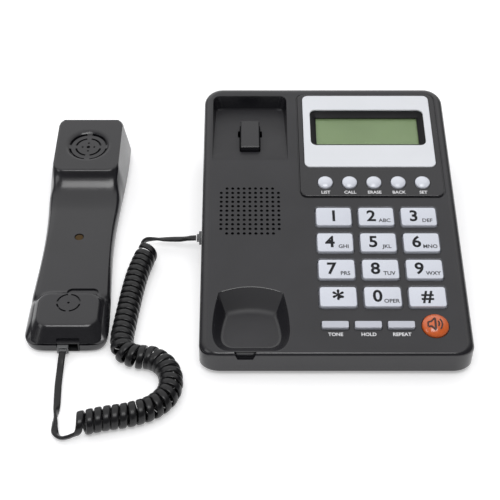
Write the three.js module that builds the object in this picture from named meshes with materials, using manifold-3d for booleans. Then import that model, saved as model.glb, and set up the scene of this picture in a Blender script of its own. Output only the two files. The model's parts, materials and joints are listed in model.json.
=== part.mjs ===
// Corded desk telephone with a number display: a wedge-shaped base, a handset lying on its back
// to the left of it, and the curly cord between them.
// Millimetres, +Z up, +X to the right, +Y to the back. The origin is on the floor, under the
// middle of the base and handset taken together.

import * as THREE from 'three';
import { mergeVertices } from 'three/addons/utils/BufferGeometryUtils.js';
import Module from 'manifold-3d';

const wasm = await Module();
wasm.setup();

// ---------------------------------------------------------------- driving dimensions

// Base, in its own frame: origin on the floor under the middle of its footprint.
const baseWidth = 170;
const baseDepth = 221;
const baseCornerRadius = 13;
const deckTilt = THREE.MathUtils.degToRad(10.1);
const deckFrontHeight = 20;
const shoulder = 5;
const wall = 2.4;
const skirtHeight = 4.5;
const gap = 0.3;

// Display pod, in deck coordinates (x, distance up the slope, height above the deck).
const podX = 29.5;
const podS = 169.4;
const podWidth = 97;
const podLength = 93.5;
const podRise = 1.2;
const bezelWidth = 89.8;
const bezelLength = 66;
const bezelS = 180.8;
const bezelThickness = 1.2;
const windowWidth = 79;
const windowLength = 32;
const windowS = 183.8;
const windowDraft = 3.2;

// Keys, in deck coordinates.
const keyWidth = 24;
const keyLength = 15.6;
const keyHeight = 3;
const keyColumns = [2.3, 30.4, 58.5];
const keyRows = [105, 83.8, 62.6, 41.4];
const barWidth = 16.8;
const barLength = 5;
const barS = 20.8;
const barColumns = [-0.5, 20, 40.5];
const roundDiameter = 10;
const roundS = 134;
const roundColumns = [-2, 14.4, 30.8, 47.2, 63.6];
const speakerButtonDiameter = 16.5;
const speakerButtonX = 61.6;
const speakerButtonS = 20.6;
const keyTravel = 1.5;
const flangeThickness = 1.5;
const flangeMargin = 1.2;

// Handset rests in the base: an ear recess behind, a mouth cradle in front.
const cradleX = -52.7;
const earWidth = 52;
const earBack = 101.5;
const earFront = 38;
const earFloor = 47.2;
const mouthFloor = 16.8;
const notchX = -56.3;
const notchWidth = 13.5;

// Hook lever, its pin and its spring, in the base frame.
const hookWidth = 13.2;
const hookPivotY = 50;
const hookPivotZ = 42.2;
const pinRadius = 1.25;
const hookUnderside = 40.8;
const hookFront = 52;
const hookBack = 78.6;
const hookTopBack = 54.2;
const hookTopFront = 51.2;
const slotFront = 51.2;
const slotBack = 80.2;
const towerTop = 27.7;
const switchTop = 36.2;

// Sockets, screws and feet.
const jackY = -1;
const jackZ = 14.4;
const jackWidth = 12.4;
const jackHeight = 10;
const plugWidth = 7.6;
const plugHeight = 6.6;
const lineJackX = 40;
const lineJackZ = 15;
const screwX = 76.5;
const screwY = 99.5;
const footX = 70;
const footY = 90;
const corners = [
  ['front_left', -1, -1],
  ['front_right', 1, -1],
  ['rear_left', -1, 1],
  ['rear_right', 1, 1],
];

// Handset, lying on its back, parallel to the base's sides.
const handsetX = -169.3;
const handsetLength = 203;
const handsetMouthY = -92.5;
const handsetHalfWidth = 28;
const mouthHalfWidth = 26.4;
const waistHalfWidth = 23.7;
const handsetCorner = 11;
const handsetWall = 2;
const seamHeight = 8;
const gripHeight = 14;
const mouthHeight = 17.5;
const earHeight = 30;

// Curly cord.
const coilRadius = 7.6;
const leadRadius = 1.7;

// ---------------------------------------------------------------- materials

function plastic(color, roughness) {
  return new THREE.MeshStandardMaterial({ color, roughness, metalness: 0 });
}

function metal(color, roughness) {
  return new THREE.MeshStandardMaterial({ color, roughness, metalness: 1 });
}

const caseBlack = plastic(0x16171b, 0.22);
const innerBlack = plastic(0x1c1c20, 0.6);
const silverTrim = plastic(0xdfe3ea, 0.35);
const keyWhite = plastic(0xd8dce8, 0.2);
const signalOrange = plastic(0xe0521e, 0.25);
const displayGreen = plastic(0x7f9a66, 0.4);
const clearLens = plastic(0xdfe8ea, 0.05);
const siliconeGrey = plastic(0x8c8f92, 0.8);
const boardGreen = plastic(0x1f5a3a, 0.5);
const rubberBlack = plastic(0x0f0f10, 0.9);
const cordBlack = plastic(0x121214, 0.45);
const plugClear = plastic(0xb9bcc0, 0.15);
const steel = metal(0xa8abb0, 0.35);

// ---------------------------------------------------------------- solids and outlines

// A closed geometry as a solid that can be joined and cut.
function solid(geometry) {
  const bare = geometry.clone();
  bare.deleteAttribute('normal');
  bare.deleteAttribute('uv');
  const merged = mergeVertices(bare, 1e-4);
  const vertProperties = new Float32Array(merged.attributes.position.array);
  const triVerts = new Uint32Array(merged.index.array);
  return new wasm.Manifold(new wasm.Mesh({ numProp: 3, vertProperties, triVerts }));
}

function geometryOf(manifold) {
  const mesh = manifold.getMesh();
  const geometry = new THREE.BufferGeometry();
  geometry.setAttribute('position', new THREE.BufferAttribute(mesh.vertProperties, 3));
  geometry.setIndex(new THREE.BufferAttribute(mesh.triVerts, 1));
  geometry.computeVertexNormals();
  return geometry;
}

function joined(first, ...others) {
  return others.reduce((whole, piece) => whole.add(solid(piece)), solid(first));
}

function cut(body, ...cutters) {
  return cutters.reduce((whole, cutter) => whole.subtract(solid(cutter)), body);
}

// Rounded rectangle about (x, y).
function roundedRect(width, length, radius, x = 0, y = 0) {
  const right = x + width / 2 - radius;
  const left = x - width / 2 + radius;
  const top = y + length / 2 - radius;
  const bottom = y - length / 2 + radius;
  const shape = new THREE.Shape();
  shape.absarc(right, bottom, radius, -Math.PI / 2, 0, false);
  shape.absarc(right, top, radius, 0, Math.PI / 2, false);
  shape.absarc(left, top, radius, Math.PI / 2, Math.PI, false);
  shape.absarc(left, bottom, radius, Math.PI, 1.5 * Math.PI, false);
  shape.closePath();
  return shape;
}

// Outline raised from low to high, its rims rounded over by `edge`.
function prism(shape, low, high, edge = 0, edgeSegments = 1, curveSegments = 2) {
  const geometry = new THREE.ExtrudeGeometry(shape, {
    depth: high - low - 2 * edge,
    bevelEnabled: edge > 0,
    bevelThickness: edge,
    bevelSize: edge,
    bevelOffset: -edge,
    bevelSegments: edgeSegments,
    curveSegments,
  });
  return geometry.translate(0, 0, low + edge);
}

function block(x0, x1, y0, y1, z0, z1) {
  const geometry = new THREE.BoxGeometry(x1 - x0, y1 - y0, z1 - z0);
  return geometry.translate((x0 + x1) / 2, (y0 + y1) / 2, (z0 + z1) / 2);
}

// Upright round bar.
function bar(radius, low, high, x = 0, y = 0, sides = 12) {
  const geometry = new THREE.CylinderGeometry(radius, radius, high - low, sides);
  return geometry.rotateX(Math.PI / 2).translate(x, y, (low + high) / 2);
}

// Turned piece about the vertical: pairs of radius and height from one end of the axis to the other.
function turned(profile, sides = 16) {
  const points = profile.map(([radius, height]) => new THREE.Vector2(radius, height));
  return new THREE.LatheGeometry(points, sides).rotateX(Math.PI / 2);
}

// Moves every vertex by a function of its own position.
function reshape(geometry, move) {
  const position = geometry.attributes.position;
  for (let i = 0; i < position.count; i += 1) {
    const moved = move(position.getX(i), position.getY(i), position.getZ(i));
    position.setXYZ(i, ...moved);
  }
  return geometry;
}

// ---------------------------------------------------------------- groups

const telephone = new THREE.Group();
const base = new THREE.Group();
const handset = new THREE.Group();
const deck = new THREE.Group();
const leftEdge = handsetX - handsetHalfWidth;
const rightEdge = baseWidth / 2;
base.position.x = -(leftEdge + rightEdge) / 2;
handset.position.x = base.position.x;
deck.position.set(0, -baseDepth / 2, deckFrontHeight);
deck.rotation.x = deckTilt;
deck.updateMatrix();
telephone.add(base);
telephone.add(handset);
base.add(deck);

function add(group, name, geometry, material) {
  const mesh = new THREE.Mesh(geometry, material.clone());
  mesh.name = name;
  group.add(mesh);
}

// A tool given in deck coordinates, moved to the base frame to cut the top cover.
function onDeck(geometry) {
  return geometry.applyMatrix4(deck.matrix);
}

function deckHeight(y) {
  return deckFrontHeight + (y + baseDepth / 2) * Math.tan(deckTilt);
}

// ---------------------------------------------------------------- top cover

// Block of the wedge: the upper rim of an upright prism is lifted along the slope.
function wedge(inset, topDrop, edge) {
  const bottom = skirtHeight - 12;
  const split = skirtHeight - 2;
  const outline = roundedRect(baseWidth - 2 * inset, baseDepth - 2 * inset, baseCornerRadius - inset);
  const upright = prism(outline, bottom, deckFrontHeight - topDrop, edge, 3, 3);
  return reshape(upright, (x, y, z) => [x, y, z > split ? z + deckHeight(y) - deckFrontHeight : z]);
}

// Ear recess: a level floor with drafted walls, open to the front where the deck falls below it.
function earRecess(margin) {
  const outline = roundedRect(earWidth + 2 * margin, earBack - earFront + 2 * margin, 5 + margin,
    cradleX, (earBack + earFront) / 2);
  const top = 66;
  const draft = 2;
  const middleY = (earBack + earFront) / 2;
  const floor = earFloor - margin;
  return reshape(prism(outline, floor, top), (x, y, z) => {
    const shrink = z < floor + 1 ? draft : 0;
    return [x - Math.sign(x - cradleX) * shrink, y - Math.sign(y - middleY) * shrink, z];
  });
}

// Mouth cradle rim: an arched back edge, flared sides and a rounded front.
function mouthOutline() {
  const shape = new THREE.Shape();
  shape.moveTo(cradleX - 20.5, -65.8);
  shape.quadraticCurveTo(cradleX - 24, -80, cradleX - 24.2, -93);
  shape.quadraticCurveTo(cradleX - 24, -104.5, cradleX - 14.5, -106.6);
  shape.lineTo(cradleX + 14.5, -106.6);
  shape.quadraticCurveTo(cradleX + 24, -104.5, cradleX + 24.2, -93);
  shape.quadraticCurveTo(cradleX + 24, -80, cradleX + 20.5, -65.8);
  shape.quadraticCurveTo(cradleX, -56.8, cradleX - 20.5, -65.8);
  return shape;
}

// Bowl under that rim: its lowest ring is drawn in to the floor, its middle ring lies on the deck.
function mouthCradle(margin, above) {
  const middleY = -94.2;
  const halfWidth = 24.2;
  const halfLength = 24;
  const floorShare = [0.75, 0.66];
  const geometry = new THREE.ExtrudeGeometry(mouthOutline(), {
    depth: 2,
    steps: 2,
    bevelEnabled: false,
    curveSegments: 5,
  });
  return reshape(geometry, (x, y, ring) => {
    const width = (halfWidth + margin) / halfWidth;
    const length = (halfLength + margin) / halfLength;
    const rimX = cradleX + (x - cradleX) * width;
    const rimY = middleY + (y - middleY) * length;
    if (ring < 0.5) {
      const floorX = cradleX + (rimX - cradleX) * floorShare[0];
      return [floorX, middleY + (rimY - middleY) * floorShare[1], mouthFloor - margin];
    }
    return [rimX, rimY, ring < 1.5 ? deckHeight(rimY) - 0.1 : deckHeight(rimY) + above];
  });
}

function keyOpening(width, length, x, s, radius = 2.5) {
  const outline = roundedRect(width + 2 * gap, length + 2 * gap, radius, x, s);
  return onDeck(prism(outline, -6, 8, 0, 1, 1));
}

function topCover() {
  const outside = solid(wedge(0, 0, shoulder));
  const pod = onDeck(prism(roundedRect(podWidth, podLength, 5, podX, podS), -1, podRise, 0.4));
  const lugOffset = 9.9;
  const lugs = [-lugOffset, lugOffset].map((offset) => block(cradleX + offset - 1.4, cradleX + offset + 1.4,
    hookPivotY - 3, hookPivotY + 3, hookPivotZ - 3, earFloor - 1));
  const inner = solid(wedge(wall, wall, shoulder - wall));
  const posts = corners.map(([, side, end]) => (
    bar(3.6, 8.8, deckHeight(end * screwY) - 1, side * screwX, end * screwY)
  ));
  const notchBlock = block(notchX - 9, notchX + 9, -109, -102, mouthFloor - 5, mouthFloor + 2);
  const inside = joined(earRecess(wall), mouthCradle(wall, -1), notchBlock, ...posts);
  const shell = outside.subtract(inner).add(inside.intersect(outside)).add(solid(pod));
  const withLugs = lugs.reduce((whole, lug) => whole.add(solid(lug)), shell);

  const below = block(-100, 100, -130, 130, -20, skirtHeight);
  const pinHole = bar(pinRadius + gap, -14, 14, 0, 0, 12).rotateY(Math.PI / 2)
    .translate(cradleX, hookPivotY, hookPivotZ);
  const slotHalf = hookWidth / 2 + 0.5;
  const hookSlot = block(cradleX - slotHalf, cradleX + slotHalf, slotFront, slotBack, 40, 60);
  const notch = prism(roundedRect(notchWidth, 12, 0.8, notchX, -109), mouthFloor - 1.4, 40);
  const handsetSocket = block(-90, -80, jackY - jackWidth / 2 - gap, jackY + jackWidth / 2 + gap,
    jackZ - jackHeight / 2 - gap, jackZ + jackHeight / 2 + gap);
  const lineSocket = block(lineJackX - jackWidth / 2 - gap, lineJackX + jackWidth / 2 + gap, 104, 116,
    lineJackZ - jackHeight / 2 - gap, lineJackZ + jackHeight / 2 + gap);
  const pilots = corners.map(([, side, end]) => (
    bar(1.6, 7, 17.5, side * screwX, end * screwY, 10)
  ));
  const bezelSeat = onDeck(prism(
    roundedRect(bezelWidth + 2 * gap, bezelLength + 2 * gap, 4.3, podX, bezelS),
    podRise - bezelThickness + 0.3, 8,
  ));
  const windowHole = reshape(
    prism(roundedRect(windowWidth, windowLength, 2, podX, windowS), -4, 8, 0, 1, 1),
    (x, y, z) => {
      const draft = z < 0 ? windowDraft * 1.6 : -windowDraft * 1.6;
      return [x - Math.sign(x - podX) * draft, y - Math.sign(y - windowS) * draft, z];
    },
  );
  const digitHoles = keyRows.flatMap((s) => keyColumns.map((x) => keyOpening(keyWidth, keyLength, x, s)));
  const barHoles = barColumns.map((x) => keyOpening(barWidth, barLength, x, barS, 1.2));
  const roundHoles = roundColumns.map((x) => onDeck(bar(roundDiameter / 2 + gap, -6, 8, x, roundS, 16)));
  const speakerHole = onDeck(bar(speakerButtonDiameter / 2 + gap, -6, 8, speakerButtonX, speakerButtonS, 20));

  return cut(withLugs, below, earRecess(0), mouthCradle(0, 14), hookSlot, pinHole, notch, handsetSocket,
    lineSocket, bezelSeat, onDeck(windowHole), speakerHole, ...pilots, ...digitHoles, ...barHoles,
    ...roundHoles);
}

add(base, 'base_top_cover', geometryOf(topCover()), caseBlack);

// ---------------------------------------------------------------- bottom cover, screws and feet

function bottomCover() {
  const width = baseWidth - 2 * wall - 2 * gap;
  const depth = baseDepth - 2 * wall - 2 * gap;
  const radius = baseCornerRadius - wall - gap;
  const plateLow = 3;
  const plateHigh = 5.4;
  const lip = 1.6;
  const tray = prism(roundedRect(width, depth, radius), plateLow, 8.4, 0, 1, 3);
  const hollow = prism(roundedRect(width - 2 * lip, depth - 2 * lip, radius - lip), plateHigh, 12);
  const bosses = corners.map(([, side, end]) => (
    bar(4.4, plateLow, 8.4, side * screwX, end * screwY)
  ));
  const tower = block(cradleX - 7, cradleX + 7, 57, 80, plateHigh - 1, towerTop);
  const boardPosts = [[-14, 12], [60, 12], [-14, 88], [60, 88]].map(([x, y]) => (
    bar(2.5, plateHigh - 1, 11.7, x, y, 10)
  ));
  const whole = [...bosses, tower, ...boardPosts]
    .reduce((body, piece) => body.add(solid(piece)), solid(tray).subtract(solid(hollow)));
  const screwHoles = corners.flatMap(([, side, end]) => [
    bar(3.1, plateLow - 1, 5.5, side * screwX, end * screwY),
    bar(1.7, plateLow - 1, 9, side * screwX, end * screwY),
  ]);
  return cut(whole, ...screwHoles);
}

add(base, 'base_bottom_cover', geometryOf(bottomCover()), innerBlack);

for (const [place, side, end] of corners) {
  const foot = turned([[0, 0], [6, 0], [6.5, 0.6], [6.5, 3], [0, 3]], 20);
  add(base, `rubber_foot_${place}`, foot.translate(side * footX, end * footY, 0), rubberBlack);
  const screw = turned([[0, 3.5], [2.2, 3.5], [2.8, 4], [2.8, 5.2], [1.3, 5.2], [1.3, 15], [0, 16.4]], 12);
  add(base, `case_screw_${place}`, screw.translate(side * screwX, end * screwY, 0), steel);
}

// ---------------------------------------------------------------- display

const bezelLow = podRise - bezelThickness + 0.6;
const bezelPlate = prism(roundedRect(bezelWidth, bezelLength, 4, podX, bezelS), bezelLow,
  bezelLow + bezelThickness, 0.3);
const bezelWindow = prism(roundedRect(windowWidth + 1, windowLength + 1, 2.5, podX, windowS), -4, 8);
add(deck, 'display_bezel', geometryOf(cut(solid(bezelPlate), bezelWindow)), silverTrim);

const lensHigh = -wall - gap;
const lensLow = lensHigh - 1;
add(deck, 'display_window', prism(roundedRect(81, 38, 1.5, podX, windowS), lensLow, lensHigh), clearLens);
const panelHigh = lensLow - gap;
add(deck, 'lcd_panel', prism(roundedRect(79, 36, 0.8, podX, windowS), panelHigh - 3, panelHigh), displayGreen);

// ---------------------------------------------------------------- keys

const flangeHigh = -wall - gap;
const flangeLow = flangeHigh - flangeThickness;

// Rounded cap on a wider flange that stops against the underside of the cover.
function keySolid(width, length, height, radius, edge, x, s) {
  const cap = prism(roundedRect(width, length, radius, x, s), flangeHigh - 1, height, edge);
  const flange = prism(
    roundedRect(width + 2 * flangeMargin, length + 2 * flangeMargin, radius, x, s),
    flangeLow, flangeHigh,
  );
  return geometryOf(joined(cap, flange));
}

const digitNames = [
  ['1', '2', '3'],
  ['4', '5', '6'],
  ['7', '8', '9'],
  ['star', '0', 'hash'],
];

digitNames.forEach((row, r) => row.forEach((digit, c) => {
  const cap = keySolid(keyWidth, keyLength, keyHeight, 2.2, 0.7, keyColumns[c], keyRows[r]);
  add(deck, `digit_key_${digit}`, cap, keyWhite);
}));

['ring_key', 'flash_key', 'redial_key'].forEach((name, i) => {
  add(deck, name, keySolid(barWidth, barLength, 2, 1, 0.5, barColumns[i], barS), keyWhite);
});

// Domed round button on a flange, as pairs of radius and height.
function domedButton(radius, rim, crown) {
  const flangeRadius = radius + flangeMargin;
  return turned([
    [0, flangeLow],
    [flangeRadius, flangeLow],
    [flangeRadius, flangeHigh],
    [radius, flangeHigh],
    [radius, rim],
    [radius * 0.88, rim + (crown - rim) * 0.5],
    [radius * 0.55, rim + (crown - rim) * 0.88],
    [0, crown],
  ], 16);
}

['menu_button_1', 'menu_button_2', 'menu_button_3', 'menu_button_4', 'menu_button_5'].forEach((name, i) => {
  const button = domedButton(roundDiameter / 2, podRise + 1, podRise + 2.8);
  add(deck, name, button.translate(roundColumns[i], roundS, 0), keyWhite);
});

add(deck, 'speaker_button', domedButton(speakerButtonDiameter / 2, 1, 4.2)
  .translate(speakerButtonX, speakerButtonS, 0), signalOrange);

// ---------------------------------------------------------------- keypad and boards

const membraneHigh = flangeLow - keyTravel - gap;
const membraneLow = membraneHigh - 1;
const boardHigh = membraneLow - gap;
const boardLow = boardHigh - 1.6;
const keypadShape = roundedRect(85, 128, 3, 30.5, 78.5);
add(deck, 'keypad_membrane', prism(keypadShape, membraneLow, membraneHigh), siliconeGrey);
add(deck, 'keypad_board', prism(keypadShape, boardLow, boardHigh), boardGreen);
add(base, 'main_board', prism(roundedRect(84, 88, 2, 23, 50), 12, 13.6), boardGreen);

// Loudspeaker: basket, cone and magnet in one.
const loudspeaker = turned([
  [0, -17],
  [11, -17],
  [11, -9.5],
  [14, -9.5],
  [22, -5],
  [25, -5],
  [25, -3],
  [22, -3],
  [8, -8],
  [0, -6.5],
], 20);
add(deck, 'loudspeaker', loudspeaker.translate(-53, 111, 0), innerBlack);

// ---------------------------------------------------------------- hook switch

// Side view of the lever, as y and z, with a round eye at its front end.
function hookLever() {
  const shape = new THREE.Shape();
  shape.moveTo(hookFront, hookUnderside);
  shape.lineTo(hookBack, hookUnderside);
  shape.lineTo(hookBack, earFloor + 0.8);
  shape.lineTo(hookBack - 2, hookTopBack);
  shape.lineTo(hookFront + 0.6, hookTopFront);
  shape.lineTo(hookFront, hookTopFront - 0.6);
  shape.closePath();
  const body = prism(shape, -hookWidth / 2, hookWidth / 2, 0.6);
  const eye = bar(2.3, -hookWidth / 2, hookWidth / 2, hookPivotY, hookPivotZ, 14);
  const link = prism(roundedRect(5, 2.8, 0.4, hookFront, hookPivotZ), -hookWidth / 2, hookWidth / 2);
  const bore = bar(pinRadius + gap, -20, 20, hookPivotY, hookPivotZ, 12);
  const lever = cut(joined(body, eye, link), bore);
  const side = new THREE.Matrix4().makeBasis(
    new THREE.Vector3(0, 1, 0),
    new THREE.Vector3(0, 0, 1),
    new THREE.Vector3(1, 0, 0),
  );
  return geometryOf(lever).applyMatrix4(side).translate(cradleX, 0, 0);
}

add(base, 'hook_lever', hookLever(), caseBlack);

const pin = bar(pinRadius, -12, 12, 0, 0, 12).rotateY(Math.PI / 2);
add(base, 'hook_pivot_pin', pin.translate(cradleX, hookPivotY, hookPivotZ), steel);
add(base, 'hook_switch', block(cradleX - 5.5, cradleX + 5.5, 58, 68, towerTop, switchTop), innerBlack);

// Compression spring: a fine helix between the tower and the lever.
class Helix extends THREE.Curve {
  constructor(radius, low, high, turns) {
    super();
    this.radius = radius;
    this.low = low;
    this.high = high;
    this.turns = turns;
  }

  getPoint(t, target = new THREE.Vector3()) {
    const angle = 2 * Math.PI * this.turns * t;
    const height = this.low + (this.high - this.low) * t;
    return target.set(this.radius * Math.cos(angle), this.radius * Math.sin(angle), height);
  }
}

const wireRadius = 0.4;
const wire = new THREE.Shape();
wire.absarc(0, 0, wireRadius, 0, 2 * Math.PI, false);
const springPath = new Helix(2.6, towerTop + wireRadius + 0.1, hookUnderside - wireRadius - 0.4, 5);
const spring = new THREE.ExtrudeGeometry(wire, { steps: 44, extrudePath: springPath, curveSegments: 3 });
add(base, 'hook_spring', spring.translate(cradleX, 74, 0), steel);

// ---------------------------------------------------------------- sockets in the base

// Modular socket with its mouth towards -Y, its floor closed.
function socket(width, height, depth, mouthWidth, mouthHeight, mouthDepth) {
  const body = block(-width / 2, width / 2, 0, depth, -height / 2, height / 2);
  const mouth = block(-mouthWidth / 2, mouthWidth / 2, -1, mouthDepth, -mouthHeight / 2, mouthHeight / 2);
  return geometryOf(cut(solid(body), mouth));
}

const socketDepth = 14;
const plugDepth = 11.5;
const mouthClearance = 0.7;
const baseSocket = socket(jackWidth, jackHeight, socketDepth, plugWidth + mouthClearance,
  plugHeight + mouthClearance, plugDepth + 0.5);
add(base, 'handset_jack_base', baseSocket.rotateZ(-Math.PI / 2)
  .translate(-baseWidth / 2 + 0.4, jackY, jackZ), innerBlack);

const lineSocketSolid = socket(jackWidth, jackHeight, socketDepth, 9.8, 7, 12);
add(base, 'line_jack', lineSocketSolid.rotateZ(Math.PI)
  .translate(lineJackX, baseDepth / 2 - 0.4, lineJackZ), innerBlack);

// ---------------------------------------------------------------- handset shells

const mouthY = handsetMouthY;
const earY = handsetMouthY + handsetLength;

// Plan view: wide ends, a waisted grip and rounded corners; the inset is the wall.
function handsetPlan(inset) {
  const y0 = mouthY + inset;
  const y1 = earY - inset;
  const mouthHalf = mouthHalfWidth - inset;
  const waistHalf = waistHalfWidth - inset;
  const earHalf = handsetHalfWidth - inset;
  const corner = handsetCorner - inset;
  const shape = new THREE.Shape();
  shape.moveTo(-mouthHalf + corner, y0);
  shape.lineTo(mouthHalf - corner, y0);
  shape.quadraticCurveTo(mouthHalf, y0, mouthHalf, y0 + corner);
  shape.bezierCurveTo(mouthHalf, y0 + 45, waistHalf, mouthY + 55, waistHalf, mouthY + 90);
  shape.bezierCurveTo(waistHalf, mouthY + 135, earHalf, mouthY + 150, earHalf, y1 - corner - 8);
  shape.quadraticCurveTo(earHalf, y1, earHalf - corner, y1);
  shape.lineTo(-earHalf + corner, y1);
  shape.quadraticCurveTo(-earHalf, y1, -earHalf, y1 - corner - 8);
  shape.bezierCurveTo(-earHalf, mouthY + 150, -waistHalf, mouthY + 135, -waistHalf, mouthY + 90);
  shape.bezierCurveTo(-waistHalf, mouthY + 55, -mouthHalf, y0 + 45, -mouthHalf, y0 + corner);
  shape.quadraticCurveTo(-mouthHalf, y0, -mouthHalf + corner, y0);
  return shape;
}

// Side view, as y and z: mouth end low, flat grip, concave neck up to the tilted ear face.
function handsetSide(inset) {
  const y0 = mouthY + inset;
  const y1 = earY - inset;
  const low = inset;
  const shape = new THREE.Shape();
  shape.moveTo(y0 + 5, low);
  shape.lineTo(y1 - 16, low);
  shape.quadraticCurveTo(y1, low + 2, y1, low + 14);
  shape.lineTo(y1 - 2, earHeight - 5 - inset);
  shape.quadraticCurveTo(y1 - 3, earHeight + 1.5 - inset, y1 - 7, earHeight + 1.5 - inset);
  shape.lineTo(mouthY + 150, earHeight - 1.5 - inset);
  shape.quadraticCurveTo(mouthY + 140 + inset, earHeight - 2 - inset, mouthY + 137 + inset,
    earHeight - 8 - inset);
  shape.quadraticCurveTo(mouthY + 134 + inset, gripHeight - inset, mouthY + 122, gripHeight - inset);
  shape.lineTo(mouthY + 45, gripHeight - inset);
  shape.lineTo(mouthY + 37, mouthHeight - inset);
  shape.lineTo(y0 + 8.5, mouthHeight - inset);
  shape.lineTo(y0 + 0.8, seamHeight);
  shape.lineTo(y0, seamHeight - 2);
  shape.lineTo(y0, low + 3);
  shape.closePath();
  return shape;
}

// The block common to the plan view and the side view.
function handsetBlock(inset) {
  const plan = solid(prism(handsetPlan(inset), -5, 45, 0, 1, 3));
  const side = prism(handsetSide(inset), -40, 40, 0, 1, 3);
  const upright = new THREE.Matrix4().makeBasis(
    new THREE.Vector3(0, 1, 0),
    new THREE.Vector3(0, 0, 1),
    new THREE.Vector3(1, 0, 0),
  );
  return plan.intersect(solid(side.applyMatrix4(upright)));
}

const earRingY = mouthY + 173;
const mouthRingY = mouthY + 28;
const handsetScrewY = mouthY + 93;
const handsetJackX = 1.6;
const handsetJackZ = 5.6;
const handsetJackWidth = 14;
const handsetPlugX = -1.6;

function shells() {
  const skin = handsetBlock(0).subtract(handsetBlock(handsetWall));
  const socketHalf = handsetJackWidth / 2 + gap;
  const socketHole = block(handsetJackX - socketHalf, handsetJackX + socketHalf, mouthY - 2, mouthY + 8,
    handsetJackZ - 3.9, handsetJackZ + 3.9);
  const above = block(-60, 60, -130, 130, seamHeight + 0.1, 60);
  const below = block(-60, 60, -130, 130, -10, seamHeight - 0.2);
  const post = bar(4.4, seamHeight + 3, gripHeight - 1, 0, handsetScrewY);
  const lowerPost = bar(4.4, 1, seamHeight + 1.5, 0, handsetScrewY);
  const screwWell = bar(3.2, gripHeight - 1.8, 30, 0, handsetScrewY, 16);
  const screwHole = bar(1.7, 3, 30, 0, handsetScrewY, 10);
  const earDish = new THREE.SphereGeometry(60, 24, 12).translate(0, earRingY, earHeight + 59);
  const earHoles = [[0, 0], [6, 0], [-6, 0], [0, 6], [0, -6]].map(([x, y]) => (
    bar(1.2, 20, 40, x, earRingY + y, 8)
  ));
  const mouthHoles = [[0, 0], [5, 0], [-5, 0], [0, 4], [0, -4]].map(([x, y]) => (
    bar(1, 10, 24, x, mouthRingY + y, 8)
  ));
  const front = cut(skin.intersect(solid(above)).add(solid(post)), socketHole, screwWell, screwHole,
    earDish, ...earHoles, ...mouthHoles);
  const back = cut(skin.intersect(solid(below)).add(solid(lowerPost)), socketHole, screwHole);
  return [front, back];
}

const [frontShell, backShell] = shells();
handset.position.x += handsetX;
add(handset, 'handset_front_shell', geometryOf(frontShell), caseBlack);
add(handset, 'handset_back_shell', geometryOf(backShell), caseBlack);

const handsetScrew = turned([[0, 5], [1.3, 6], [1.3, 12.5], [2.8, 12.5], [2.8, 13.6], [0, 13.9]], 12);
add(handset, 'handset_screw', handsetScrew.translate(0, handsetScrewY, 0), steel);

// ---------------------------------------------------------------- inside the handset

const receiver = turned([[0, 15], [9, 15], [9, 20], [17, 20], [17, 24.5], [0, 24.5]], 20);
add(handset, 'earpiece_receiver', receiver.translate(0, earRingY, 0), innerBlack);
const capsule = turned([[0, 9], [4.9, 9], [4.9, 14.8], [0, 14.8]], 16);
add(handset, 'microphone_capsule', capsule.translate(0, mouthRingY, 0), steel);
add(handset, 'handset_weight', block(-14, 14, mouthY + 102, mouthY + 128, 2.6, 8), steel);

const handsetSocketBody = block(handsetJackX - handsetJackWidth / 2, handsetJackX + handsetJackWidth / 2,
  mouthY + 0.4, mouthY + 14, handsetJackZ - 3.6, handsetJackZ + 3.6);
const handsetSocketMouth = block(handsetPlugX - plugWidth / 2 - mouthClearance / 2,
  handsetJackX + handsetJackWidth / 2 - 0.9, mouthY - 1, mouthY + 12, handsetJackZ - 3.1, handsetJackZ + 3.1);
add(handset, 'handset_jack', geometryOf(cut(solid(handsetSocketBody), handsetSocketMouth)), innerBlack);

// ---------------------------------------------------------------- cord

// Modular plug with a narrower tail, its nose towards +Y.
function plug(height) {
  const body = block(-plugWidth / 2 + 0.2, plugWidth / 2 - 0.2, -2.5, plugDepth, -height / 2, height / 2);
  const tail = block(-2.6, 2.6, -4, -2, -1.5, 1.5);
  return geometryOf(joined(body, tail));
}

add(base, 'plug_base', plug(plugHeight - 0.2).rotateZ(-Math.PI / 2)
  .translate(-baseWidth / 2, jackY, jackZ), plugClear);
add(handset, 'plug_handset', plug(5.6).translate(handsetPlugX, mouthY, handsetJackZ), plugClear);

function tube(points, radius, steps, sides) {
  const section = new THREE.Shape();
  section.absarc(0, 0, radius, 0, 2 * Math.PI, false);
  const path = new THREE.CatmullRomCurve3(points.map((point) => new THREE.Vector3(...point)), false,
    'centripetal');
  return new THREE.ExtrudeGeometry(section, { steps, extrudePath: path, curveSegments: sides / 2 });
}

// Axis of the curled stretch, chosen by hand: down beside the handset, round a tight corner in
// front of it, out to the right and back to the left.
const coilAxis = [
  [-121.4, -4.4, coilRadius],
  [-124.6, -15, coilRadius],
  [-127.9, -29, coilRadius],
  [-130.2, -45, coilRadius],
  [-131.8, -60, coilRadius],
  [-133.2, -75, coilRadius],
  [-134, -86, coilRadius],
  [-132.2, -96.2, coilRadius],
  [-124.6, -101, coilRadius],
  [-114.2, -102.6, coilRadius],
  [-105.6, -109.4, coilRadius],
  [-101.8, -119.4, coilRadius],
  [-103.4, -131.4, coilRadius],
  [-111.6, -140.8, coilRadius],
  [-124.6, -146.4, coilRadius],
  [-141, -149.8, coilRadius],
  [-158.4, -154.4, coilRadius],
];

// Straight lead from the base's socket to the first turn.
const baseLead = [
  [-89.5, -1, 14.4],
  [-93.5, -0.8, 14],
  [-99.5, 2, 10.4],
  [-105.5, 3.8, 8.6],
  [-112, 4.4, 8],
  [-118.5, 4.2, 8.4],
  [-123.6, 3.2, 8.8],
  [-125.9, 1, 8.8],
  [-126.9, -2.15, 8.2],
];

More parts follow.
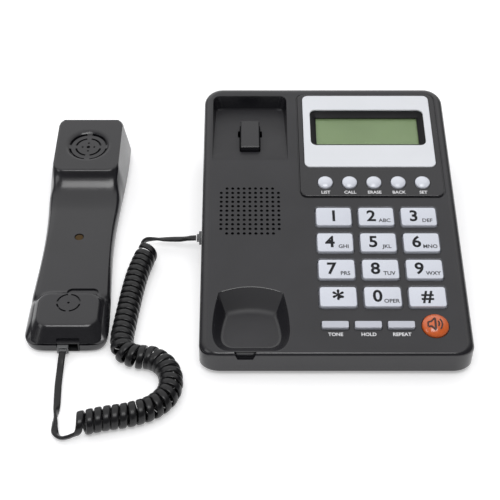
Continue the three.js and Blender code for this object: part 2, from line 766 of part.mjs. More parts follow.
// Straight lead from the last turn to the handset's plug.
const handsetLead = [
  [-157.55, -159.8, 5.2],
  [-160.6, -160.6, 4.2],
  [-165.2, -160.2, 2.8],
  [-168.8, -156.4, 2.1],
  [-170, -148.6, 1.9],
  [-170.2, -136, 1.9],
  [-171.2, -120, 1.9],
  [-171.4, -107, 2.6],
  [-171, -100, 5.2],
  [-170.9, -96.8, 5.6],
];

add(base, 'cord_coil', tube(coilAxis, coilRadius, 56, 10), cordBlack);
add(base, 'cord_lead_base', tube(baseLead, leadRadius, 18, 8), cordBlack);
add(base, 'cord_lead_handset', tube(handsetLead, leadRadius, 24, 8), cordBlack);

export default telephone;
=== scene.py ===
import json
import math

import bmesh
import bpy
import numpy as np
from mathutils.geometry import delaunay_2d_cdt
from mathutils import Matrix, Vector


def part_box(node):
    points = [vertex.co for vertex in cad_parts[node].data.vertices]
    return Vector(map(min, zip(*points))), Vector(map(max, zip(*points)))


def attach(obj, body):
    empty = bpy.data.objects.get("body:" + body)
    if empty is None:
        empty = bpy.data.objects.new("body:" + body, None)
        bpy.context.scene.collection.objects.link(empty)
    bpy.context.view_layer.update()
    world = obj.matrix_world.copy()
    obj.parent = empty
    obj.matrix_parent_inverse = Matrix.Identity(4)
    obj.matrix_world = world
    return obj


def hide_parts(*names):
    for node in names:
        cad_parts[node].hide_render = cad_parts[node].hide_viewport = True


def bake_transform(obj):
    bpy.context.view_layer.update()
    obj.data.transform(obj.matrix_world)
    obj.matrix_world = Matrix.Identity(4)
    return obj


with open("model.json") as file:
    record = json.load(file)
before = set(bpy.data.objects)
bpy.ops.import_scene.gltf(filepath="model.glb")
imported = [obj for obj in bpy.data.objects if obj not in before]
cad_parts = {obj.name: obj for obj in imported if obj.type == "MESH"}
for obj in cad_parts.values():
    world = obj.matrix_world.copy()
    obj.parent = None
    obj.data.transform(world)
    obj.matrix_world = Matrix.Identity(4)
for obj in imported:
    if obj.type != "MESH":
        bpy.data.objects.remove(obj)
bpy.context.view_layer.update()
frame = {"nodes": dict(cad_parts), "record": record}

MM = 0.001

# ---- Floor, lights and camera -------------------------------------------------------------
# A pale sweep of floor, seen from in front and well above. The room glows behind and over the
# object and is dark round the horizon; one lamp stands over its front edge and one at its left.

scene = bpy.context.scene
scene.view_settings.view_transform = "Standard"
scene.view_settings.look = "None"


def nodes_of(name):
    """A new material with an empty node tree but for its Principled shader."""
    material = bpy.data.materials.new(name)
    material.use_nodes = True
    tree = material.node_tree
    return material, tree, tree.nodes["Principled BSDF"]


def node(tree, kind, inputs, **traits):
    """A shader node with its traits set; each input gets a value or is wired to a socket."""
    made = tree.nodes.new("ShaderNode" + kind)
    for trait, value in traits.items():
        setattr(made, trait, value)
    for key, value in inputs.items():
        if isinstance(value, bpy.types.NodeSocket):
            tree.links.new(value, made.inputs[key])
        else:
            made.inputs[key].default_value = value
    return made


floor_reach = 12.0
floor_mesh = bpy.data.meshes.new("floor")
floor_mesh.from_pydata(
    [(-floor_reach, -floor_reach, 0), (floor_reach, -floor_reach, 0),
     (floor_reach, floor_reach, 0), (-floor_reach, floor_reach, 0)], [], [(0, 1, 2, 3)])
floor = bpy.data.objects.new("floor", floor_mesh)
scene.collection.objects.link(floor)
floor_paint, _, shader = nodes_of("floor_paint")
shader.inputs["Base Color"].default_value = (0.86, 0.86, 0.87, 1)
shader.inputs["Roughness"].default_value = 0.7
shader.inputs["Emission Color"].default_value = (1, 1, 1, 1)
shader.inputs["Emission Strength"].default_value = 0.35
floor_mesh.materials.append(floor_paint)

world = bpy.data.worlds.new("studio")
world.use_nodes = True
sky = world.node_tree
brightest_way = (-0.05, 0.56, 0.827)
nearness = node(sky, "VectorMath", {0: node(sky, "TexCoord", {}).outputs["Object"], 1: brightest_way},
                operation="DOT_PRODUCT")
glow = node(sky, "MapRange", {"Value": nearness.outputs["Value"], "From Min": 0.42, "From Max": 0.8,
                              "To Min": 0.16, "To Max": 1.1}, interpolation_type="SMOOTHSTEP")
sky.links.new(glow.outputs["Result"], sky.nodes["Background"].inputs["Strength"])
sky.nodes["Background"].inputs["Color"].default_value = (1, 1, 1, 1)
scene.world = world


def softbox(name, place, aim, width, height, watts):
    """A rectangular lamp at a place, turned to face a point."""
    lamp = bpy.data.lights.new(name, "AREA")
    lamp.shape = "RECTANGLE"
    lamp.size = width
    lamp.size_y = height
    lamp.energy = watts
    box = bpy.data.objects.new(name, lamp)
    scene.collection.objects.link(box)
    toward = np.array(aim) - np.array(place)
    box.location = place
    pitch = math.acos(-toward[2] / np.linalg.norm(toward))
    box.rotation_euler = (pitch, 0, math.atan2(-toward[0], toward[1]))


softbox("overhead_box", (0.0, -0.62, 1.25), (-0.05, 0, 0), 0.9, 0.42, 7)
softbox("left_box", (-1.0, -0.5, 0.8), (-0.05, 0, 0), 0.5, 0.5, 1.6)

camera_lens = bpy.data.cameras.new("camera")
camera_lens.sensor_width = 36
camera_lens.lens = 83.88
camera_lens.shift_x = 0.016
camera_lens.clip_end = 20
camera = bpy.data.objects.new("camera", camera_lens)
camera.location = (-0.00215, -0.577, 0.5592)
camera.rotation_euler = (math.radians(46), 0, 0)
scene.collection.objects.link(camera)
scene.camera = camera

# ---- Curly cord ---------------------------------------------------------------------------
# Flat four-wire tape in soft black vinyl, wound flat on a bar and baked, so that it springs
# back into close turns. Its two ends stay straight and are crimped into smoky clear plugs.

cover_low, cover_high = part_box("base_top_cover")
base_x = (cover_low.x + cover_high.x) / 2
tape_half_width = 2.2 * MM
tape_half_thickness = 1.1 * MM
coil_radius = 6.5 * MM
coil_height = 7.6 * MM

coil_axis = np.array([
    (-0.1214, -0.0044), (-0.1246, -0.0150), (-0.1279, -0.0290), (-0.1302, -0.0450), (-0.1318, -0.0600),
    (-0.1332, -0.0750), (-0.1340, -0.0860), (-0.1322, -0.0962), (-0.1246, -0.1010), (-0.1142, -0.1026),
    (-0.1056, -0.1094), (-0.1018, -0.1194), (-0.1034, -0.1314), (-0.1116, -0.1408), (-0.1246, -0.1464),
    (-0.1410, -0.1498), (-0.1584, -0.1544)])
base_lead = np.array([
    (-0.0895, -0.0010, 0.0144), (-0.0935, -0.0008, 0.0140), (-0.0995, 0.0020, 0.0104),
    (-0.1055, 0.0038, 0.0086), (-0.1120, 0.0044, 0.0080), (-0.1185, 0.0042, 0.0084),
    (-0.1236, 0.0032, 0.0088), (-0.1259, 0.0010, 0.0088), (-0.1269, -0.00215, 0.0082)])
handset_lead = np.array([
    (-0.15755, -0.1598, 0.0052), (-0.1606, -0.1606, 0.0042), (-0.1652, -0.1602, 0.0028),
    (-0.1688, -0.1564, 0.0021), (-0.1700, -0.1486, 0.0019), (-0.1702, -0.1360, 0.0019),
    (-0.1712, -0.1200, 0.0019), (-0.1714, -0.1070, 0.0026), (-0.1710, -0.1000, 0.0052),
    (-0.1709, -0.0968, 0.0056)])


def smooth_line(points, steps):
    """A smooth curve through points: each span is a Hermite cubic between its ends, and the
    slope at a point is that of the parabola through it and its two neighbours."""
    spans = np.linalg.norm(np.diff(points, axis=0), axis=1) ** 0.5
    knots = np.concatenate([[0], np.cumsum(spans)])
    slope = np.gradient(points, knots, axis=0)
    at = np.linspace(0, knots[-1], steps)
    i = np.clip(np.searchsorted(knots, at, side="right") - 1, 0, len(points) - 2)
    width = spans[i][:, None]
    u = (at - knots[i])[:, None] / width
    start = (2 * u ** 3 - 3 * u ** 2 + 1) * points[i] + (u ** 3 - 2 * u ** 2 + u) * width * slope[i]
    end = (3 * u ** 2 - 2 * u ** 3) * points[i + 1] + (u ** 3 - u ** 2) * width * slope[i + 1]
    return start + end


def evenly(line, steps):
    """The same curve with its points at equal distances along it."""
    run = np.concatenate([[0], np.cumsum(np.linalg.norm(np.diff(line, axis=0), axis=1))])
    at = np.linspace(0, run[-1], steps)
    return np.stack([np.interp(at, run, line[:, k]) for k in range(line.shape[1])], 1)


def unit(vectors):
    return vectors / np.linalg.norm(vectors, axis=-1, keepdims=True)


def wound(axis, radius, height, pitch, first, last, run_in, per_turn):
    """A helix round a level curved axis: the phase grows with the distance along the axis, slowly
    over the run-in at each end, so that the wire comes in along the axis and goes out along it.
    Gives the points and, for each, the direction away from the axis."""
    fine = evenly(smooth_line(axis, 2000), 4000)
    run = np.concatenate([[0], np.cumsum(np.linalg.norm(np.diff(fine, axis=0), axis=1))])
    from_end = np.minimum(run, run[-1] - run)
    rate = np.clip(from_end / run_in, 0.06, 1)
    phase = np.concatenate([[0], np.cumsum((rate[1:] + rate[:-1]) / 2 * np.diff(run))])
    turns = round((phase[-1] / pitch) - (last - first) / (2 * np.pi))
    phase = first + phase / phase[-1] * (2 * np.pi * turns + last - first)
    along = unit(np.gradient(fine, axis=0))
    count = int((phase[-1] - phase[0]) / (2 * np.pi) * per_turn)
    mix = (np.linspace(phase[0], phase[-1], count), phase)
    place = np.stack([np.interp(*mix, fine[:, k]) for k in range(2)], 1)
    ahead = unit(np.stack([np.interp(*mix, along[:, k]) for k in range(2)], 1))
    inward = np.interp(*mix, np.clip(from_end / run_in, 0, 1))
    reach = radius * (0.915 + 0.085 * inward)
    side = np.stack([ahead[:, 1], -ahead[:, 0], np.zeros(count)], 1)
    away = np.cos(mix[0])[:, None] * side + np.sin(mix[0])[:, None] * np.array([0, 0, 1.0])
    points = np.column_stack([place, np.full(count, height)]) + away * reach[:, None]
    return points, away


def turned_between(first, last, count):
    """Directions that swing evenly from the first to the last."""
    share = np.linspace(0, 1, count)[:, None]
    share = share * share * (3 - 2 * share)
    return unit(first * (1 - share) + last * share)


def grid_faces(rows, columns, closed):
    """Faces of a grid of points: one between each two rows and two neighbouring columns."""
    index = np.arange(rows * columns).reshape(rows, columns)
    right = np.roll(index, -1, 1) if closed else index[:, 1:]
    left = index if closed else index[:, :-1]
    return np.stack([left[:-1], right[:-1], right[1:], left[1:]], -1).reshape(-1, 4)


def solid(rings, paint=0):
    """Rings of points with the same count, joined by faces and closed at both ends."""
    rings = np.array(rings)
    rows, columns = rings.shape[:2]
    faces = grid_faces(rows, columns, True).tolist()
    faces += [list(range(columns))[::-1], [(rows - 1) * columns + k for k in range(columns)]]
    return rings.reshape(-1, 3), faces, paint


def tape(centre, flat_side, half_width, half_thickness, sides):
    """A flat band carried along a line: its section is a squared ellipse, wide across the
    line and thin along the given direction, and both ends are closed."""
    along = unit(np.gradient(centre, axis=0))
    thick = unit(flat_side - (flat_side * along).sum(1, keepdims=True) * along)
    wide = np.cross(along, thick)
    angle = np.linspace(0, 2 * np.pi, sides, endpoint=False)
    across = half_width * np.sign(np.cos(angle)) * np.abs(np.cos(angle)) ** 0.7
    through = half_thickness * np.sign(np.sin(angle)) * np.abs(np.sin(angle)) ** 0.7
    points = (centre[:, None] + across[None, :, None] * wide[:, None]
              + through[None, :, None] * thick[:, None])
    return solid(points)


def piece(name, patches, materials, sharp=38, merge=2e-6, weighted=True, outside=True):
    """One object from patches of points, faces and a material's number: points that coincide are
    merged, faces turned outwards, and edges steeper than the sharp angle kept crisp."""
    points, faces, painted, count = [], [], [], 0
    for patch_points, patch_faces, paint in patches:
        listed = patch_faces if isinstance(patch_faces, list) else patch_faces.tolist()
        faces += [[count + corner for corner in face] for face in listed]
        painted += [paint] * len(listed)
        points.append(np.asarray(patch_points, float).reshape(-1, 3))
        count += len(points[-1])
    mesh = bpy.data.meshes.new(name)
    mesh.from_pydata(np.concatenate(points), [], faces)
    mesh.polygons.foreach_set("material_index", painted)
    work = bmesh.new()
    work.from_mesh(mesh)
    bmesh.ops.remove_doubles(work, verts=work.verts, dist=merge)
    bmesh.ops.dissolve_degenerate(work, dist=merge / 2, edges=work.edges)
    if outside:
        bmesh.ops.recalc_face_normals(work, faces=work.faces)
    work.to_mesh(mesh)
    work.free()
    for material in materials:
        mesh.materials.append(material)
    mesh.shade_smooth()
    mesh.set_sharp_from_angle(angle=math.radians(sharp))
    made = bpy.data.objects.new(name, mesh)
    scene.collection.objects.link(made)
    if weighted:
        smooth = made.modifiers.new("smooth_shading", "WEIGHTED_NORMAL")
        smooth.keep_sharp = True
    return made


def plastic(name, colour, roughness, grain=0.12, grain_size=0.25, coat=0.0, mottle=0.15, metallic=0.0,
            specular=0.5):
    """Moulded plastic: its colour and gloss drift a little over a few centimetres, faint rubbed
    streaks change the gloss, and a fine grain roughens the surface."""
    material, tree, shader = nodes_of(name)
    place = node(tree, "TexCoord", {}).outputs["Object"]

    def noise(scale, detail):
        return node(tree, "TexNoise", {"Scale": scale, "Detail": detail, "Vector": place}).outputs["Fac"]

    def spread(source, low, high):
        return node(tree, "MapRange", {"Value": source, "From Min": 0.3, "From Max": 0.7, "To Min": low,
                                       "To Max": high}).outputs["Result"]

    drift_scale, streak_scale, grit_scale, grain_height = 35, 28, 260, 0.00004
    darker, lighter = [(*[min(1, c * share) for c in colour], 1) for share in (1 - mottle, 1 + mottle)]
    tint = node(tree, "Mix", {"A": darker, "B": lighter, "Factor": spread(noise(drift_scale, 3), 0, 1)},
                data_type="RGBA")
    rubbed = node(tree, "Math", {0: spread(noise(streak_scale, 5), roughness * 0.88, roughness * 1.06),
                                 1: spread(noise(grit_scale, 2), -0.01, 0.012)}, operation="ADD")
    bump = node(tree, "Bump", {"Strength": grain, "Distance": grain_height,
                               "Height": noise(1000 / grain_size, 2)})
    tree.links.new(tint.outputs["Result"], shader.inputs["Base Color"])
    tree.links.new(rubbed.outputs["Value"], shader.inputs["Roughness"])
    tree.links.new(bump.outputs["Normal"], shader.inputs["Normal"])
    shader.inputs["Metallic"].default_value = metallic
    shader.inputs["Specular IOR Level"].default_value = specular
    shader.inputs["Coat Weight"].default_value = coat
    shader.inputs["Coat Roughness"].default_value = 0.08
    return material


cord_vinyl = plastic("cord_vinyl", (0.005, 0.005, 0.006), 0.3, grain=0.05, grain_size=0.6, specular=0.4)

turns, away = wound(coil_axis, coil_radius, coil_height, 5.05 * MM, math.radians(6), math.radians(204),
                    8 * MM, 28)
lead_in = evenly(smooth_line(base_lead, 400), 70)[:-1]
lead_out = evenly(smooth_line(handset_lead, 400), 90)[1:]
up = np.array([0, 0, 1.0])
cord_line = np.concatenate([lead_in, turns, lead_out]) + np.array([base_x, 0, 0])
cord_line[:, 2] = np.maximum(cord_line[:, 2], tape_half_thickness)
cord_line[-len(lead_out):, 2] = np.maximum(cord_line[-len(lead_out):, 2], tape_half_width)
cord_side = np.concatenate([turned_between(up, away[0], len(lead_in)), away,
                            turned_between(away[-1], up, len(lead_out))])
cord = piece("curly_cord", [tape(cord_line, cord_side, tape_half_width, tape_half_thickness, 14)],
             [cord_vinyl], sharp=60, merge=1e-7, weighted=False)
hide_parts("cord_coil", "cord_lead_base", "cord_lead_handset")

# ---- Cord plugs ---------------------------------------------------------------------------
# Modular plugs moulded in smoky clear plastic: a square nose with a springy latch, crimped on
# the tape and pushed into the sockets.

plug_clear = plastic("plug_clear", (0.05, 0.052, 0.056), 0.14, grain=0.05, coat=0.6)


def stands_for(made, slot, body, *nodes):
    """Makes a piece move with a body, in place of its CAD nodes, which are hidden; the slot is not used."""
    if nodes:
        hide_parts(*nodes)
    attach(made, body)


def finer(node, name, material, bevel, segments=2, angle=30):
    """A CAD piece with its edges rounded: a copy of its triangles is merged, its flat faces are
    joined, and a narrow bevel runs along each crisp edge."""
    source = frame["nodes"][node]
    work = bmesh.new()
    work.from_mesh(source.data)
    bmesh.ops.remove_doubles(work, verts=work.verts, dist=2e-6)
    bmesh.ops.dissolve_limit(work, angle_limit=math.radians(1), verts=work.verts, edges=work.edges)
    mesh = bpy.data.meshes.new(name)
    work.to_mesh(mesh)
    work.free()
    mesh.materials.clear()
    mesh.materials.append(material)
    mesh.polygons.foreach_set("material_index", [0] * len(mesh.polygons))
    mesh.shade_smooth()
    mesh.set_sharp_from_angle(angle=math.radians(35))
    made = bpy.data.objects.new(name, mesh)
    scene.collection.objects.link(made)
    edge = made.modifiers.new("rounded_edges", "BEVEL")
    edge.width = bevel
    edge.segments = segments
    edge.limit_method = "ANGLE"
    edge.angle_limit = math.radians(angle)
    edge.harden_normals = False
    smooth = made.modifiers.new("smooth_shading", "WEIGHTED_NORMAL")
    smooth.keep_sharp = False
    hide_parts(node)
    for body, members in frame["record"]["behaviour"]["bodies"].items():
        if node in members:
            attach(made, body)
    return made


base_plug = finer("plug_base", "cord_plug_base", plug_clear, 0.35 * MM)
handset_plug = finer("plug_handset", "cord_plug_handset", plug_clear, 0.35 * MM)

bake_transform(cord)

# ---- Top cover of the base ----------------------------------------------------------------
# One glossy black moulding: the sloping deck with its rolled edge and side walls, the raised
# display pod, the two rests for the handset, the key openings and the loudspeaker's holes.

front_y = cover_low.y
deck_tilt = math.radians(10.1)
deck_front = 20 * MM
base_width, base_depth = 170 * MM, 221 * MM
cradle_x = -52.7 * MM


def deck_height(y):
    return deck_front + (y - front_y) * math.tan(deck_tilt)


def on_deck(across, along, above):
    """Deck coordinates to the object's frame: along climbs the slope from the front edge, and
    above stands square to it."""
    y = front_y + along * math.cos(deck_tilt) - above * math.sin(deck_tilt)
    z = deck_front + along * math.sin(deck_tilt) + above * math.cos(deck_tilt)
    return np.stack(np.broadcast_arrays(base_x + across, y, z), -1)


def up_slope(y):
    """Distance up the slope of the deck's point over a level distance from the middle."""
    return (y - front_y) / math.cos(deck_tilt)


def rounded(width, length, radius, x=0.0, y=0.0, steps=7):
    """Rectangle with round corners, anticlockwise: four quarter circles about the corners' centres."""
    angle = np.linspace(0, np.pi / 2, steps + 1)[None] + np.arange(4)[:, None] * np.pi / 2
    middle_x = (width / 2 - radius) * np.array([1, -1, -1, 1])[:, None]
    middle_y = (length / 2 - radius) * np.array([1, 1, -1, -1])[:, None]
    corner = np.stack([x + middle_x + radius * np.cos(angle), y + middle_y + radius * np.sin(angle)], -1)
    return corner.reshape(-1, 2)


def circle(radius, x=0.0, y=0.0, sides=24):
    angle = np.linspace(0, 2 * np.pi, sides, endpoint=False)
    return np.stack([x + radius * np.cos(angle), y + radius * np.sin(angle)], 1)


def grown(outline, distance):
    """A closed outline moved outwards: each corner goes along the mean of the normals of the two
    edges that meet there, lengthened so that the edges move by the distance."""
    edge = unit(np.roll(outline, -1, 0) - outline)
    normal = np.stack([edge[:, 1], -edge[:, 0]], 1)
    mean = normal + np.roll(normal, 1, 0)
    return outline + distance * 2 * mean / (mean ** 2).sum(1, keepdims=True)


def rounding(radius, steps=3, low=0.0):
    """Pairs of outward distance and height that round an opening's rim, from its flat face down."""
    angle = np.linspace(0, np.pi / 2, steps + 1)
    return [(radius * (1 - math.sin(a)), low - radius * (1 - math.cos(a))) for a in angle]


def band(rings, paint=0):
    """Faces between rings of points that have the same count."""
    rings = np.array(rings)
    return rings.reshape(-1, 3), grid_faces(rings.shape[0], rings.shape[1], True), paint


def rim(outline, pairs, paint=0, place=on_deck):
    """A profile carried round an outline: for each pair of outward distance and height, the
    outline is grown by the distance and placed at the height."""
    return band([place(*grown(outline, out).T, high) for out, high in pairs], paint)


def within(points, outline):
    """True where a point lies in a closed outline: a line from it to one side crosses the outline
    an odd number of times."""
    x, y = points[:, :1], points[:, 1:]
    x0, y0 = outline.T
    x1, y1 = np.roll(outline, -1, 0).T
    crosses = (y0 > y) != (y1 > y)
    rise = np.where(y1 == y0, 1, y1 - y0)
    return (crosses & (x < x0 + (y - y0) * (x1 - x0) / rise)).sum(1) % 2 == 1


def flat(outer, holes, height, paint=0, place=on_deck):
    """A flat face with holes: a constrained Delaunay net over the outlines' own points, less the
    triangles whose middle lies in a hole."""
    loops = [outer, *holes]
    points = np.concatenate(loops)
    start = np.cumsum([0] + [len(loop) for loop in loops])
    edges = np.concatenate([np.stack([a + np.arange(b - a), a + (np.arange(b - a) + 1) % (b - a)], 1)
                            for a, b in zip(start[:-1], start[1:])])
    net = delaunay_2d_cdt(points.tolist(), edges.tolist(), [], 2, 1e-8)
    corners = np.array(net[0])
    faces = np.array(net[2])
    middle = corners[faces].mean(1)
    keep = within(middle, outer)
    for hole in holes:
        keep &= ~within(middle, hole)
    return place(corners[:, 0], corners[:, 1], height), faces[keep], paint


def level(x, y, z):
    """Level coordinates about the middle of the base."""
    return np.stack(np.broadcast_arrays(base_x + x, y, z), -1)


def curve(start, pull, end, steps):
    """Parabola from start to end, drawn towards a third point; its last point is left out."""
    t = np.linspace(0, 1, steps, endpoint=False)[:, None]
    return (1 - t) ** 2 * np.array(start) + 2 * t * (1 - t) * np.array(pull) + t ** 2 * np.array(end)


case_black = plastic("case_black", (0.0105, 0.0102, 0.0128), 0.24, grain=0.02, grain_size=0.6, coat=0.2)
well_black = plastic("well_black", (0.017, 0.0166, 0.0195), 0.5, grain=0.35, grain_size=0.5, mottle=0.1)
deck_black = plastic("deck_black", (0.0155, 0.0152, 0.0185), 0.33, grain=0.07, grain_size=0.6, coat=0.05)
# The window frame is black plastic, but its colour is made darker and duller than the case to stand in for
# the shade inside the window's recess: partly painted shade.
frame_black_painted_shade = plastic("frame_black_painted_shade", (0.005, 0.005, 0.006), 0.5, grain=0.2, grain_size=0.5, specular=0.2)

shoulder = 5 * MM
shoulder_drop = 4.6 * MM
skirt = 4.5 * MM
front_share = 0.32
front_gain = shoulder * (1 - front_share)
deck_outline = rounded(base_width - 2 * shoulder, base_depth - 2 * shoulder + front_gain, 8 * MM,
                       y=-front_gain / 2, steps=10)
deck_edge = np.stack([deck_outline[:, 0], up_slope(deck_outline[:, 1])], 1)
roll = np.radians(np.linspace(28, 90, 9))
roll_out = shoulder * (np.sin(roll) - math.sin(roll[0])) / (1 - math.sin(roll[0]))
roll_down = shoulder_drop * (math.cos(roll[0]) - np.cos(roll)) / math.cos(roll[0])
deck_normal = grown(deck_outline, 1) - deck_outline
facing_front = np.clip(-deck_normal[:, 1], 0, 1) ** 2


def edge_ring(out):
    """The deck's outline moved outwards; less at the front, where the wall stands steeper."""
    step = deck_normal * out
    step[:, 1] *= np.where(deck_outline[:, 1] < 0, front_share, 1)
    return deck_outline + step


def shoulder_ring(out, down):
    ring = edge_ring(out)
    fall = down * (1 - 0.6 * facing_front)
    return level(ring[:, 0], ring[:, 1], deck_height(ring[:, 1]) - fall)


def skirt_ring(out, height):
    ring = edge_ring(out)
    return level(ring[:, 0], ring[:, 1], height)


shell_wall = 2.4 * MM
outer_rings = [shoulder_ring(out, down) for out, down in zip(roll_out, roll_down)]
outer_rings += [skirt_ring(shoulder, 9 * MM), skirt_ring(shoulder, skirt + 0.4 * MM),
                skirt_ring(shoulder - 0.4 * MM, skirt), skirt_ring(shoulder - shell_wall, skirt)]
cover_patches = [band(outer_rings)]
deck_holes = []

# Key openings.
key_columns = np.array([2.3, 30.4, 58.5]) * MM
key_rows = np.array([105, 83.8, 62.6, 41.4]) * MM
key_width, key_length = 24 * MM, 15.6 * MM
bar_columns = np.array([-0.5, 20, 40.5]) * MM
bar_s, bar_width, bar_length = 20.8 * MM, 16.8 * MM, 5 * MM
round_columns = np.array([-2, 14.4, 30.8, 47.2, 63.6]) * MM
round_s, round_radius = 134 * MM, 5 * MM
orange_x, orange_s, orange_radius = 61.6 * MM, 20.6 * MM, 8.25 * MM
opening_gap = 0.3 * MM
opening_rim = 0.35 * MM
opening_profile = rounding(opening_rim) + [(0, -shell_wall)]


def opening(outline, above=0.0):
    """An opening's rounded rim and wall; gives the outline that the flat face around it leaves out."""
    cover_patches.append(rim(outline, [(out, high + above) for out, high in opening_profile]))
    return grown(outline, opening_rim)


for s in key_rows:
    for x in key_columns:
        deck_holes.append(opening(rounded(key_width + 2 * opening_gap, key_length + 2 * opening_gap,
                                          2.5 * MM, x, s, 5)))
for x in bar_columns:
    deck_holes.append(opening(rounded(bar_width + 2 * opening_gap, bar_length + 2 * opening_gap,
                                      1.2 * MM, x, bar_s, 4)))
deck_holes.append(opening(circle(orange_radius + opening_gap, orange_x, orange_s, 40)))

# Loudspeaker holes: eleven by eleven without the corners.
grille_x, grille_s = -53 * MM, 111.1 * MM
grille_pitch = np.array([3.84, 3.78]) * MM
hole_radius, hole_rim, hole_depth = 0.95 * MM, 0.12 * MM, 1.9 * MM
steps = np.arange(-5, 6)
for i in steps:
    for j in steps:
        if abs(i) == 5 and abs(j) == 5:
            continue
        hole = circle(hole_radius, grille_x + i * grille_pitch[0], grille_s + j * grille_pitch[1], 10)
        cover_patches.append(rim(hole, [(hole_rim, 0), (0, -hole_rim), (0, -hole_depth)]))
        deck_holes.append(grown(hole, hole_rim))

# Display pod: a groove round it, a raised pad with a rounded rim, and the seat of the bezel.
pod_x, pod_s, pod_rise = 29.5 * MM, 169.4 * MM, 1.2 * MM
bezel_s, bezel_width, bezel_length = 180.8 * MM, 89.8 * MM, 66 * MM
window_s, window_width, window_length = 183.8 * MM, 79 * MM, 32 * MM
pod = rounded(97 * MM, 93.5 * MM, 5 * MM, pod_x, pod_s, 8)
pod_rim = 0.9 * MM
groove, groove_depth = 0.9 * MM, 0.4 * MM
groove_profile = [(groove, 0), (0.75 * MM, -groove_depth), (0.15 * MM, -groove_depth), (0, -0.1 * MM)]
pod_profile = [(-out, pod_rise - pod_rim + high) for out, high in
               [(0, 0), (0.12 * MM, 0.45 * MM), (0.45 * MM, 0.78 * MM), (pod_rim, pod_rim)]]
cover_patches.append(rim(pod, groove_profile + pod_profile))
deck_holes.append(grown(pod, groove))
seat = rounded(bezel_width + 0.6 * MM, bezel_length + 0.6 * MM, 4.3 * MM, pod_x, bezel_s, 8)
seat_floor = 0.3 * MM
window = rounded(window_width, window_length, 3.6 * MM, pod_x, window_s, 6)
window_draft = 3.75 * MM
cover_patches.append(rim(seat, [(0.15 * MM, pod_rise), (0, pod_rise - 0.15 * MM), (0, seat_floor)]))
# Material 3 on the seat and the window's drafted walls is the frame's black, darkened as painted shade for
# the recess.
cover_patches.append(flat(seat, [window], seat_floor, 3))
drafted = rounded(window_width - 2 * window_draft, window_length - 2 * window_draft, 0.6 * MM, pod_x,
                  window_s, 6)
cover_patches.append(band([on_deck(*window.T, seat_floor), on_deck(*drafted.T, -shell_wall)], 3))
pod_holes = [grown(seat, 0.15 * MM)]
for x in round_columns:
    pod_holes.append(opening(circle(round_radius + opening_gap, x, round_s, 32), pod_rise))
cover_patches.append(flat(grown(pod, -pod_rim), pod_holes, pod_rise))

# Rest for the ear end: a level floor with drafted walls that run out where the deck meets it.
ear_floor, ear_back, ear_half = 47.2 * MM, 101.5 * MM, 26 * MM
ear_front = front_y + (ear_floor - deck_front) / math.tan(deck_tilt)
arc = np.radians(np.linspace(0, 90, 9))
corner = 5 * MM
right_arc = np.stack([ear_half - corner + corner * np.cos(arc),
                      ear_back - corner + corner * np.sin(arc)], 1)
left_arc = right_arc[::-1] * [-1, 1]
side_y = np.linspace(ear_front, ear_back - corner, 14)[:-1]
ear = np.concatenate([np.stack([np.full(13, ear_half), side_y], 1), right_arc, left_arc,
                      np.stack([np.full(13, -ear_half), side_y[::-1]], 1)]) + [cradle_x, 0]
ear_depth = deck_height(ear[:, 1]) - ear_floor
ear_share = np.clip(ear_depth / ear_depth.max(), 0, 1)[:, None]
toward = np.stack([-np.sign(ear[:, 0] - cradle_x),
                   -np.clip((ear[:, 1] - (ear_back - corner)) / corner, 0, 1)], 1)
round_in = np.concatenate([np.zeros(13), np.sin(2 * arc), np.sin(2 * arc), np.zeros(13)])[:, None]


def ear_ring(inward, down, level_floor=False):
    """Ring of the rear rest: moved inwards and down, both by the share of the depth there."""
    ring = ear + toward * ear_share * (inward + 2.2 * max(inward - 1.6 * MM, 0) * round_in)
    z = ear_floor if level_floor else deck_height(ring[:, 1]) - down * ear_share[:, 0]
    return ring, level(ring[:, 0], ring[:, 1], z)


ear_rings = [ear_ring(-0.6 * MM, 0), ear_ring(-0.15 * MM, 0.15 * MM), ear_ring(0, 0.6 * MM),
             ear_ring(1.7 * MM, ear_depth.max() - 1.2 * MM), ear_ring(2.1 * MM, ear_depth.max() - 0.3 * MM),
             ear_ring(2.9 * MM, 0, True)]
cover_patches.append(band([ring for _, ring in ear_rings[:4]]))
cover_patches.append(band([ring for _, ring in ear_rings[3:]], 1))
slot_front, slot_back, slot_half = 51.2 * MM, 80.2 * MM, 7.1 * MM
hook_slot = rounded(2 * slot_half, slot_back - slot_front, 0.8 * MM, cradle_x,
                    (slot_front + slot_back) / 2, 4)
cover_patches.append(flat(ear_rings[-1][0], [grown(hook_slot, 0.3 * MM)], ear_floor, 1, level))
cover_patches.append(rim(hook_slot, [(out, high + ear_floor) for out, high in
                                     rounding(0.3 * MM) + [(0, -shell_wall)]], 1, level))
ear_top = ear_rings[0][0]
deck_holes.append(np.stack([ear_top[:, 0], up_slope(ear_top[:, 1])], 1))

# Rest for the mouth end: an arched back edge, a ramp and a level floor, flared glossy sides.
mouth_floor = 16.8 * MM
back_half, back_y, back_arch_y = 20.5, -65.8, -56.8
side_half, side_pull, side_y = 24.2, 24, -93
front_half, front_edge_y = 14.5, -107.8
back_left, back_right = (-back_half, back_y), (back_half, back_y)
side_left, side_right = (-side_half, side_y), (side_half, side_y)
front_left, front_right = (-front_half, front_edge_y), (front_half, front_edge_y)
back_pull_y, front_pull_y = -80, -106.8
mouth = np.concatenate([
    curve(back_right, (0, back_arch_y), back_left, 18),
    curve(back_left, (-side_pull, back_pull_y), side_left, 9),
    curve(side_left, (-side_pull, front_pull_y), front_left, 10),
    curve(front_left, (0, front_edge_y), front_right, 6),
    curve(front_right, (side_pull, front_pull_y), side_right, 10),
    curve(side_right, (side_pull, back_pull_y), back_right, 9)]) * MM
mouth_middle = np.array([0, -92.4 * MM])
mouth_floor_ring = mouth_middle + (mouth - mouth_middle) * [0.76, 0.66]


